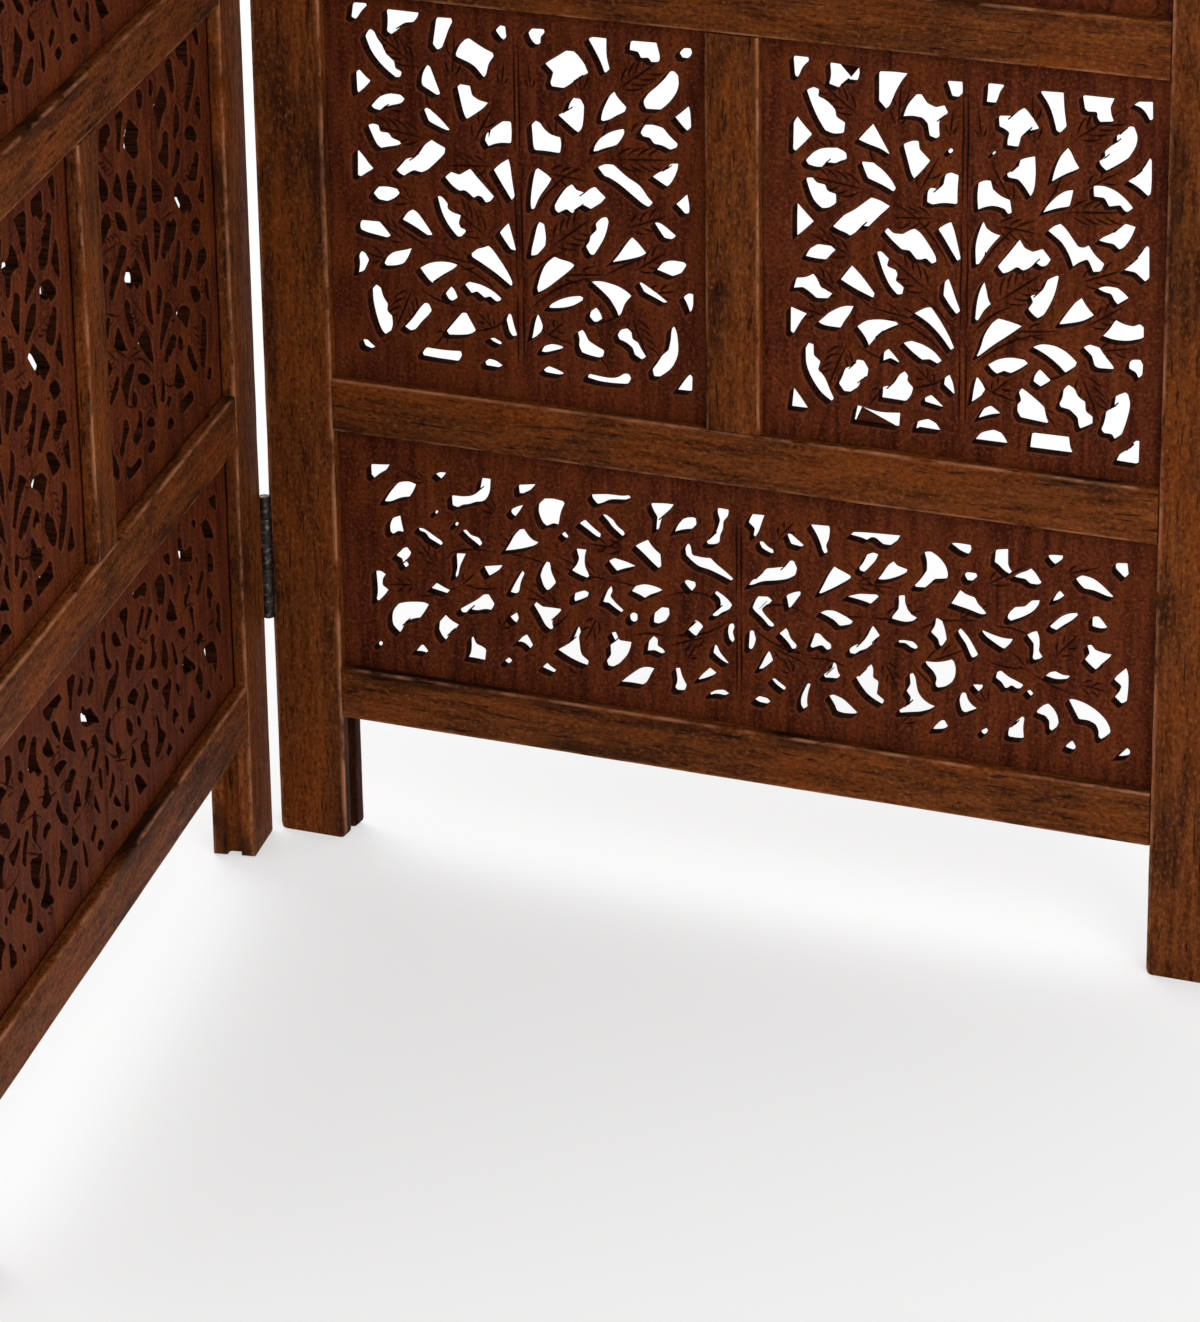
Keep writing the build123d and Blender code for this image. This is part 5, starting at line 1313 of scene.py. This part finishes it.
def flat_sheet(outline, holes, cuts, seed):
    """Points and triangles of a sheet with holes, and the lines to carve along."""
    chance = np.random.default_rng(seed)
    points = []
    edges = []

    def add(line, closed):
        first = len(points)
        points.extend(line)
        numbers = list(range(first, len(points)))
        edges.extend(zip(numbers, numbers[1:]))
        if closed:
            edges.append((numbers[-1], numbers[0]))

    add(outline, True)
    for hole in holes:
        add(hole, True)
        for distance in RIM_RINGS:
            add(ring(hole, distance), True)
    for cut_line in cuts:
        for offset in (0, -RIB_WIDTH / 2, RIB_WIDTH / 2):
            add(beside(cut_line, offset), False)
    low, high = outline.min(axis=0), outline.max(axis=0)
    for x in np.arange(low[0] + FIELD_PITCH, high[0] - FIELD_MARGIN, FIELD_PITCH):
        for z in np.arange(low[1] + FIELD_PITCH, high[1] - FIELD_MARGIN, FIELD_PITCH):
            points.append(np.array([x, z]) + chance.uniform(-FIELD_SCATTER, FIELD_SCATTER, 2))
    drawing = [Vector(point) for point in points]
    places, _, triangles, _, _, _ = delaunay_2d_cdt(drawing, edges, [], 0, SAME_PLACE)
    places = np.array([tuple(place) for place in places])
    triangles = np.array(triangles)
    middles = places[triangles].mean(axis=1)
    wood = inside(middles, outline)
    for hole in holes:
        wood &= ~inside(middles, hole)
    used, numbers = np.unique(triangles[wood], return_inverse=True)
    return places[used], numbers.reshape(-1, 3)


# %% [markdown]
# The depth of the carving at a point is worked out from its distance to the nearest hole and
# to the nearest cut. The same distances are kept on the mesh, for the finish: the cuts are
# painted darker, hands polish the rims, and the very edge of each hole is painted dark, a
# painted shade.

# %% Depth of the carving
RIM_WIDTH = 1.2
RIM_DROP = 0.6
CARVING_REACH = 3


def distance_to_lines(places, lines, closed):
    """Distance from each place to the nearest line, and how far along it in shares of 1."""
    nearest = np.full(len(places), 1e9)
    along = np.zeros(len(places))
    for line in lines:
        line = np.array(line)
        close = np.all((places > line.min(axis=0) - CARVING_REACH)
                       & (places < line.max(axis=0) + CARVING_REACH), axis=1)
        if not close.any():
            continue
        starts = line if closed else line[:-1]
        ends = np.roll(line, -1, axis=0) if closed else line[1:]
        step = ends - starts
        away = places[close][:, None] - starts[None]
        share = np.clip((away * step).sum(-1) / ((step ** 2).sum(-1) + 1e-12), 0, 1)
        gap = np.linalg.norm(away - share[..., None] * step, axis=-1)
        best = gap.argmin(axis=1)
        rows = np.arange(len(best))
        nearer = gap[rows, best] < nearest[close]
        where = np.flatnonzero(close)[nearer]
        nearest[where] = gap[rows, best][nearer]
        along[where] = ((best + share[rows, best]) / len(starts))[nearer]
    return nearest, along


def carving(places, holes, cuts):
    """Depth at each place, how deep it lies in a cut (0 to 1), and how near a rim (0 to 1)."""
    to_hole, _ = distance_to_lines(places, holes, True)
    to_cut, along = distance_to_lines(places, cuts, False)
    rim = np.clip(1 - to_hole / RIM_WIDTH, 0, 1)
    swell = np.sin(np.pi * np.clip(along, 0.02, 0.98)) ** 0.6
    rib = np.clip(1 - to_cut / (RIB_WIDTH / 2 * swell), 0, 1) * swell
    depth = np.maximum(RIM_DROP * rim ** 2, RIB_DEPTH * rib)
    return depth, rib, rim


# %% [markdown]
# No two panels are sawn quite alike. Each copy is pushed about by a slow wave of a few tenths of
# a millimetre, which fades out at the border so that the panel still fits its groove.

# %% Board
WANDER = 0.25
WANDER_WAVES = 5
BORDER = 12
RIPPLE = 0.06
RIPPLE_WAVES = 6


def wander(places, seed, reach, low, high):
    """Moves places by a slow wave that is still at the border."""
    chance = np.random.default_rng(seed)
    moved = places.copy()
    fade = np.clip(np.minimum(places - low, high - places).min(axis=1) / BORDER, 0, 1)[:, None]
    for _ in range(WANDER_WAVES):
        wave = chance.uniform(-0.28, 0.28, 2)
        push = chance.uniform(-1, 1, 2)
        moved += fade * push * reach / 2 * np.sin(places @ wave + chance.uniform(0, 6.28))[:, None]
    return moved


def carved_board(name, sheet, low, high, origin, seed):
    """A carved board between two corners, its drawing laid out from an origin."""
    places, triangles, depth, rib, rim = sheet
    spread = wander(places, seed, WANDER, places.min(axis=0), places.max(axis=0))
    corners = np.column_stack([origin.x + spread[:, 0] * mm, np.full(len(spread), low.y),
                               origin.z + spread[:, 1] * mm])
    mesh = bpy.data.meshes.new(name)
    mesh.from_pydata(corners.tolist(), [], triangles.tolist())
    piece = bpy.data.objects.new(name, mesh)
    bpy.context.collection.objects.link(piece)
    mesh.materials.append(carved_wood)
    mesh.materials.append(shaded_wall_wood)
    thickness = high.y - low.y
    apply_modifier(piece, "SOLIDIFY", thickness=thickness, offset=-1, material_offset_rim=1)
    mesh = piece.data
    count = len(places)
    after = np.empty(len(mesh.vertices) * 3)
    mesh.vertices.foreach_get("co", after)
    after = after.reshape(-1, 3)
    chance = np.random.default_rng(seed)
    ripple = sum(np.sin(places @ chance.uniform(-0.35, 0.35, 2) + chance.uniform(0, 6.28))
                 for _ in range(RIPPLE_WAVES))
    after[:count, 1] = low.y + (depth + RIPPLE * (ripple - ripple.min())) * mm
    after[count:, 1] = high.y - RIM_DROP * rim ** 2 * mm
    mesh.vertices.foreach_set("co", after.ravel())
    mesh.update()
    for key, values in (("rib", rib), ("rim", rim)):
        attribute = mesh.attributes.new(key, "FLOAT", "POINT")
        back = np.zeros(count) if key == "rib" else rim
        attribute.data.foreach_set("value", np.concatenate([values, back]).astype(np.float32))
    soften(piece, 40)
    mark_grain(piece, low, high, "Z")
    return piece


# %% Carved wood


def make_carved_wood():
    wood = Finish("carved_panel_wood")
    grain = wood.attribute("grain")
    fibre = wood.noise(wood.stretch(grain, (22, 210, 210)), 1, detail=5, roughness=0.6)
    cloud = wood.noise(wood.stretch(grain, (25, 45, 45)), 1, detail=2)
    grit = wood.noise(grain, 560, detail=3, roughness=0.7)
    colour = wood.lay((58, 20, 7), (98, 44, 20), wood.mask(fibre, 0.34, 0.68))
    colour = wood.lay(colour, (110, 52, 16), wood.mask(cloud, 0.48, 0.72, 0, 0.6))
    colour = wood.lay(colour, (34, 10, 5), wood.mask(grit, 0.47, 0.36, 0, 0.6))
    colour = wood.lay(colour, (132, 70, 40), wood.mask(grit, 0.54, 0.68, 0, 0.5))
    rib = wood.attribute("rib", "Fac")
    rim = wood.attribute("rim", "Fac")
    colour = wood.lay(colour, (126, 66, 42), wood.mask(rim, 0.05, 0.4, 0, 0.35))
    # Painted shade: the very edge of each hole is painted dark where the board falls away into it.
    colour = wood.lay(colour, (30, 9, 6), wood.mask(rim, 0.45, 1.0, 0, 0.9))
    # The cuts are painted darker.
    colour = wood.lay(colour, (26, 8, 5), wood.mask(rib, 0.1, 0.8, 0, 0.9))
    wood.bump(wood.math("ADD", fibre, grit), 0.0004, 0.6)
    return wood.set(Base_Color=colour, Roughness=0.7, Specular_IOR_Level=0.05)


# %% [markdown]
# The walls of the holes are raw from the saw, with no wax on them, and scored by the blade
# from front to back. They are painted far darker than the face, a painted shade inside the holes.

# %% Sawn walls


def make_shaded_wall_wood():
    wood = Finish("sawn_wall_wood_painted_shade")
    grain = wood.attribute("grain")
    score = wood.noise(wood.stretch(grain, (900, 900, 60)), 1, detail=2)
    # Painted shade: the walls are coloured far darker than the face, and the saw's scoring varies it.
    colour = wood.lay((18, 7, 4), (54, 24, 12), wood.mask(score, 0.35, 0.70))
    wood.bump(score, 0.0002, 0.5)
    return wood.set(Base_Color=colour, Roughness=0.95, Specular_IOR_Level=0.01)


carved_wood = make_carved_wood()
shaded_wall_wood = make_shaded_wall_wood()
print("finishes of a panel:", carved_wood.name, "and", shaded_wall_wood.name)

# %% [markdown]
# The rim of a hole is worn round, and lets more light past than a sharp one would. So the saw's
# outline lies a little inside the clear shape that was drawn.

# %% Tree and band panels
WORN_RIM = 0.35


def sheet_for(low, high, origin, holes, cuts, seed):
    """The drawing of a panel, triangulated and with its depths, in millimetres."""
    outline = [((x - origin.x) / mm, (z - origin.z) / mm) for x, z in
               ((low.x, low.z), (high.x, low.z), (high.x, high.z), (low.x, high.z))]
    holes = [ring(rounded(hole), -WORN_RIM) for hole in holes]
    sides = []
    for start, end in zip(outline, outline[1:] + outline[:1]):
        steps = max(1, round(math.dist(start, end) / FIELD_PITCH))
        sides += [np.array(start) + (np.array(end) - np.array(start)) * step / steps
                  for step in range(steps)]
    places, triangles = flat_sheet(np.array(sides), holes, cuts, seed)
    return (places, triangles, *carving(places, holes, cuts))


def opening_foot(low, high):
    """The middle of an opening's lower edge, behind which a panel stands."""
    return Vector(((low.x + high.x) / 2, low.y, low.z + GROOVE_DEPTH))


panels = {}
band_foot = opening_foot(PANEL_LOW, PANEL_HIGH)
band_sheet = sheet_for(PANEL_LOW, PANEL_HIGH, band_foot, BAND_HOLES, BAND_CUTS, 1)
tree_low, tree_high = box_of("row_2_tree_panel_left")
tree_foot = opening_foot(tree_low, tree_high)
tree_sheets = {"left": sheet_for(tree_low, tree_high, tree_foot, LEFT_TREE_HOLES, TREE_CUTS, 2),
               "right": sheet_for(tree_low, tree_high, tree_foot, RIGHT_TREE_HOLES, TREE_CUTS, 3)}
for row in BAND_ROWS:
    low, high = box_of(f"row_{row}_band_panel")
    panels[f"row_{row}_band_panel"] = carved_board(
        f"right_row_{row}_band_panel", band_sheet, low, high, opening_foot(low, high), row)
for row in TREE_ROWS:
    for side in ("left", "right"):
        node = f"row_{row}_tree_panel_{side}"
        low, high = box_of(node)
        panels[node] = carved_board(f"right_{node}", tree_sheets[side], low, high,
                                    opening_foot(low, high), row * 10 + len(side))
print("triangles in a band panel:", 2 * len(band_sheet[1]))
print("triangles in a tree panel:", [2 * len(sheet[1]) for sheet in tree_sheets.values()])

# %% [markdown]
# ## Crest
#
# Each leaf is crowned by a cusped board in the groove of its top rail. It is thicker than the
# panels, but sawn and carved the same way, so the same steps make it from its own drawing.

# %% Crest drawing
CREST_HIGH = box_of("crest")[1]
TOP_RAIL_TOP = box_of("top_rail")[1].z
CREST_THICKNESS = 14 * mm
CREST_HALF = (OPENING_RIGHT - OPENING_LEFT) / 2 / mm
CREST_TIP = (CREST_HIGH.z - TOP_RAIL_TOP) / mm
HORN = (stile_high.z - TOP_RAIL_TOP) / mm
LOBE_HEIGHT = 8
CUSPS = [(CREST_HALF, HORN), (146, 58), (68, 88), (0, CREST_TIP)]


def bowed(start, end, height, steps=14):
    """Points along a shallow arc to the right of its start and end."""
    start, end = np.array(start, float), np.array(end, float)
    along = end - start
    side = np.array([along[1], -along[0]]) / np.linalg.norm(along)
    return [start + along * t + side * height * 4 * t * (1 - t)
            for t in np.linspace(0, 1, steps, endpoint=False)]


right_edge = (bowed(CUSPS[0], CUSPS[1], LOBE_HEIGHT) + bowed(CUSPS[1], CUSPS[2], LOBE_HEIGHT)
              + bowed(CUSPS[2], CUSPS[3], -LOBE_HEIGHT))
left_edge = [np.array([-x, z]) for x, z in right_edge[::-1]]
foot_edge = [np.array([x, 0.0]) for x in np.linspace(-CREST_HALF, CREST_HALF, 120)]
crest_outline = np.array(foot_edge + right_edge[1:] + [np.array([0.0, CREST_TIP])] + left_edge[:-1])


def petal(turn, inner, length, half_width):
    """A drop-shaped hole that points away from the foot of the crest."""
    belly = inner + length * 0.45
    shoulder = inner + length * 0.8
    drop = [(inner, 0), (belly, -half_width * 0.7), (shoulder, -half_width), (inner + length, 0),
            (shoulder, half_width), (belly, half_width * 0.7)]
    c, s = math.cos(math.radians(turn)), math.sin(math.radians(turn))
    return [(c * x - s * z, 12 + s * x + c * z) for x, z in drop]


CREST_PETALS = [petal(turn, 14, 50, 5.5) for turn in (18, 42, 66)]
CREST_SCROLLS = [
    [(72, 12), (90, 11), (96, 18), (86, 22), (80, 17)],
    [(96, 40), (104, 30), (100, 24), (110, 24), (116, 34), (108, 46)],
    [(104, 12), (124, 11), (118, 18), (110, 18)],
    [(122, 24), (134, 18), (146, 24), (138, 32), (128, 32)],
    [(122, 40), (132, 40), (142, 48), (134, 56), (124, 50)],
    [(134, 11), (156, 11), (152, 18), (144, 15)],
    [(154, 30), (166, 24), (178, 30), (168, 40), (158, 40)],
    [(164, 12), (198, 11), (196, 22), (184, 20), (174, 17)],
    [(76, 52), (88, 46), (98, 52), (94, 62), (82, 64)],
    [(74, 72), (84, 72), (92, 66), (98, 70), (90, 76), (76, 80)],
    [(106, 56), (114, 52), (120, 60), (110, 66)],
    [(8, 84), (20, 80), (34, 82), (28, 92), (12, 98)],
    [(44, 76), (58, 70), (62, 80), (50, 84)],
]


def mirrored(outlines):
    """Each outline, and its mirror image across the middle of the crest."""
    return outlines + [[(-x, z) for x, z in outline] for outline in outlines]


CREST_HOLES = mirrored(CREST_PETALS + CREST_SCROLLS) + [petal(90, 14, 52, 5.5), circle((0, 12), 5)]
CREST_LEAVES = [((96, 14), (122, 34), 10, 3), ((118, 20), (150, 46), 12, 3), ((66, 30), (94, 42), 10, 3),
                ((64, 62), (70, 84), 8, 2), ((8, 76), (2, 108), 9, 3), ((176, 24), (200, 30), 7, 2)]
CREST_STEMS = [((60, 10), (130, 36), -0.08), ((120, 16), (184, 26), -0.08), ((66, 66), (106, 52), 0.06)]
crest_holes = [rounded(hole) for hole in CREST_HOLES]
crest_cuts = all_cuts(CREST_LEAVES, CREST_STEMS)
crest_places, crest_triangles = flat_sheet(crest_outline, crest_holes, crest_cuts, 3)
crest_sheet = (crest_places, crest_triangles, *carving(crest_places, crest_holes, crest_cuts))


def make_crest():
    board_low = Vector((OPENING_LEFT, MIDDLE - CREST_THICKNESS / 2, TOP_RAIL_TOP))
    board_high = Vector((OPENING_RIGHT, MIDDLE + CREST_THICKNESS / 2, CREST_HIGH.z))
    foot = Vector(((OPENING_LEFT + OPENING_RIGHT) / 2, board_low.y, TOP_RAIL_TOP))
    return carved_board("right_crest", crest_sheet, board_low, board_high, foot, 90)


crest = make_crest()
print("crest triangles:", 2 * len(crest_triangles))

# %% [markdown]
# ## Butt hinges
#
# Two small iron hinges join the leaves. A strip of plate is let into the stile's edge and
# rolled round the pin: three knuckles belong to the right leaf, two to the left. The left
# plates are modelled on the right leaf too, with their own knuckles, then mirrored across.

# %% Hinge metal


def make_metal(name, base, glint, rust, roughness):
    """Dark iron with rubbed glints and a little rust."""
    metal = Finish(name)
    place = metal.object_place()
    blotch = metal.noise(place, 420, detail=4)
    fine = metal.noise(place, 2600, detail=2)
    colour = metal.lay(base, glint, metal.mask(blotch, 0.52, 0.68))
    colour = metal.lay(colour, rust, metal.mask(fine, 0.58, 0.72, 0, 0.7))
    metal.bump(fine, 0.0001, 0.4)
    return metal.set(Base_Color=colour, Metallic=0.85,
                     Roughness=metal.mask(blotch, 0.4, 0.7, roughness + 0.12, roughness))


hinge_iron = make_metal("hinge_iron", (52, 46, 42), (120, 112, 104), (70, 42, 28), 0.42)
screw_steel = make_metal("screw_steel", (74, 70, 66), (150, 144, 136), (66, 44, 32), 0.36)
pin_steel = make_metal("pin_steel", (80, 76, 72), (160, 154, 148), (72, 50, 38), 0.32)

# %% Hinge sizes
BARREL_RADIUS = 2.8 * mm
BARREL_ROOM = 0.4 * mm
PIN_RADIUS = 1.3 * mm
PIN_CLEARANCE = 0.05 * mm
OUTER_KNUCKLE = 12 * mm
INNER_KNUCKLE = 15 * mm
KNUCKLE_PLAY = 0.15 * mm
SCREW_REACH = 19.5 * mm
SCREW_DEPTH = 9 * mm
SCREW_RADIUS = 1.2 * mm
SCREW_LENGTH = 14 * mm
HEAD_RADIUS = SCREW_RADIUS + PLATE_THICKNESS

hinge_middles = [(bottom + top) / 2 for bottom, top in hinge_spans]
PLATE_FACE = HINGE_STILE_LOW.x
knuckle_edges = [0]
for knuckle in (OUTER_KNUCKLE, INNER_KNUCKLE) * 2 + (OUTER_KNUCKLE,):
    knuckle_edges.append(knuckle_edges[-1] + knuckle)
right_knuckles = [(knuckle_edges[i], knuckle_edges[i + 1]) for i in (0, 2, 4)]
left_knuckles = [(knuckle_edges[i] + KNUCKLE_PLAY, knuckle_edges[i + 1] - KNUCKLE_PLAY) for i in (1, 3)]
print("knuckles per hinge:", len(right_knuckles), "right,", len(left_knuckles), "left")


# %% Hinge parts


def rod(name, radius, low_z, high_z, sides=40):
    """A turned rod along the pin axis."""
    bpy.ops.object.select_all(action="DESELECT")
    bpy.ops.mesh.primitive_cylinder_add(vertices=sides, radius=radius, depth=high_z - low_z,
                                        location=(PIN.x, PIN.y, (low_z + high_z) / 2))
    bpy.ops.object.transform_apply(location=True, rotation=True, scale=True)
    bpy.context.object.name = name
    return bpy.context.object


def one_plate(base, knuckles, bore):
    """One hinge leaf: a plate with rolled knuckles, bored for the pin."""
    room = BARREL_RADIUS + BARREL_ROOM
    plate_front = PIN.y + math.sqrt(room ** 2 - (PLATE_FACE - PIN.x) ** 2)
    plate = block("plate", (PLATE_FACE, plate_front, base),
                  (PLATE_FACE + PLATE_THICKNESS, FRONT + plate_depth, base + hinge_height))
    bevel_edges(plate, lambda a, b: abs(a.x - b.x) > 0.5 * mm and min(a.y, b.y) > FRONT + 10 * mm,
                0.8 * mm)
    for bottom, top in knuckles:
        web = block("web", (PLATE_FACE, PIN.y, base + bottom),
                    (PLATE_FACE + PLATE_THICKNESS, plate_front + 0.5 * mm, base + top))
        cut(plate, web, "UNION")
        barrel = rod("barrel", BARREL_RADIUS, base + bottom, base + top)
        bevel_edges(barrel, lambda a, b: abs(a.z - b.z) < 1e-6, 0.3 * mm, 2)
        cut(plate, barrel, "UNION")
    cut(plate, rod("bore", bore, base - mm, base + hinge_height + mm))
    return plate


def join(pieces, name):
    """Several solids as one piece."""
    bpy.ops.object.select_all(action="DESELECT")
    for piece in pieces:
        piece.select_set(True)
    bpy.context.view_layer.objects.active = pieces[0]
    if len(pieces) > 1:
        bpy.ops.object.join()
    bpy.context.object.name = name
    return bpy.context.object


def screw_places():
    """Where the screw heads lie in the plates."""
    return [Vector((PLATE_FACE, FRONT + SCREW_DEPTH, middle + way * SCREW_REACH))
            for middle in hinge_middles for way in (-1, 1)]


def cone(name, place, big, small, length, sides=24):
    """A cone or rod along X, from a place into the stile."""
    bpy.ops.object.select_all(action="DESELECT")
    middle = place + Vector((length / 2, 0, 0))
    bpy.ops.mesh.primitive_cone_add(vertices=sides, radius1=big, radius2=small, depth=length,
                                    location=middle, rotation=(0, math.pi / 2, 0))
    bpy.ops.object.transform_apply(location=True, rotation=True, scale=True)
    bpy.context.object.name = name
    return bpy.context.object


def make_plates(name, knuckles, bore):
    plates = join([one_plate(bottom, knuckles, bore) for bottom, _ in hinge_spans], name)
    for place in screw_places():
        cut(plates, cone("countersink", place, HEAD_RADIUS, SCREW_RADIUS, PLATE_THICKNESS))
    soften(plates, 40)
    plates.data.materials.append(hinge_iron)
    return plates


def make_screw(place):
    """A countersunk wood screw with a slotted head and a tapered shank."""
    head = cone("screw", place, HEAD_RADIUS * 0.98, SCREW_RADIUS, PLATE_THICKNESS)
    cut(head, block("slot", place - Vector((mm, 3 * mm, 0.25 * mm)),
                    place + Vector((0.5 * mm, 3 * mm, 0.25 * mm))))
    shank = cone("shank", place + Vector((PLATE_THICKNESS, 0, 0)), SCREW_RADIUS, SCREW_RADIUS * 0.5,
                 SCREW_LENGTH - PLATE_THICKNESS)
    return join([head, shank], "screw")


def make_screws(name):
    screws = join([make_screw(place) for place in screw_places()], name)
    soften(screws, 40)
    screws.data.materials.append(screw_steel)
    return screws


def make_pins():
    pins = []
    for bottom, top in hinge_spans:
        pin = rod("pin", PIN_RADIUS, bottom, top, 24)
        bevel_edges(pin, lambda a, b: abs(a.z - b.z) < 1e-6, 0.35 * mm, 3)
        pins.append(pin)
    pins = join(pins, "steel_hinge_pins")
    soften(pins, 40)
    pins.data.materials.append(pin_steel)
    return pins


right_plates = make_plates("right_hinge_plates", right_knuckles, PIN_RADIUS)
left_plates = make_plates("left_hinge_plates", left_knuckles, PIN_RADIUS + PIN_CLEARANCE)
right_screws = make_screws("right_hinge_screws")
pins = make_pins()
print("faces in the right hinge plates:", len(right_plates.data.polygons))

# %% [markdown]
# ## The left leaf's copies
#
# A mirrored mesh is inside out, so its faces are turned round after the mirror and the swing.

# %% Mirror and swing
grain_step = Vector((0.83, 0.29, 0.17))


def left_copy(piece):
    """The left leaf's own copy of a right-leaf piece."""
    copy = piece.copy()
    copy.data = piece.data.copy()
    bpy.context.collection.objects.link(copy)
    copy.name = piece.name.replace("right_", "left_", 1)
    copy.data.transform(TO_LEFT)
    copy.data.flip_normals()
    if "grain" in copy.data.attributes:
        grain = copy.data.attributes["grain"].data
        values = np.empty(len(grain) * 3, np.float32)
        grain.foreach_get("vector", values)
        values = values.reshape(-1, 3) + np.array(grain_step, np.float32)
        grain.foreach_set("vector", values.ravel())
    return copy


def place_pair(piece, node):
    """Puts a piece and its left copy on their bodies, in place of their nodes."""
    pair = (("right_leaf", piece), ("left_leaf", left_copy(piece)))
    for body, one in pair:
        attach(one, body)
        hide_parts(f"{body}_{node}")
    return pair


for name, piece in members.items():
    place_pair(piece, name)
for name, piece in panels.items():
    place_pair(piece, name)
place_pair(crest, "crest")
place_pair(right_screws, "hinge_screws")
print("frame members on both leaves:", 2 * len(members))

# %% Hinge halves
left_plates.data.transform(TO_LEFT)
left_plates.data.flip_normals()
for piece, body, nodes, slot in (
        (right_plates, "right_leaf", "right_leaf_hinge_plates", "hinge_plate_metal"),
        (left_plates, "left_leaf", "left_leaf_hinge_plates", "hinge_plate_metal"),
        (pins, "right_leaf", "hinge_pins", "pin_metal")):
    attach(piece, body)
    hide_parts(nodes)
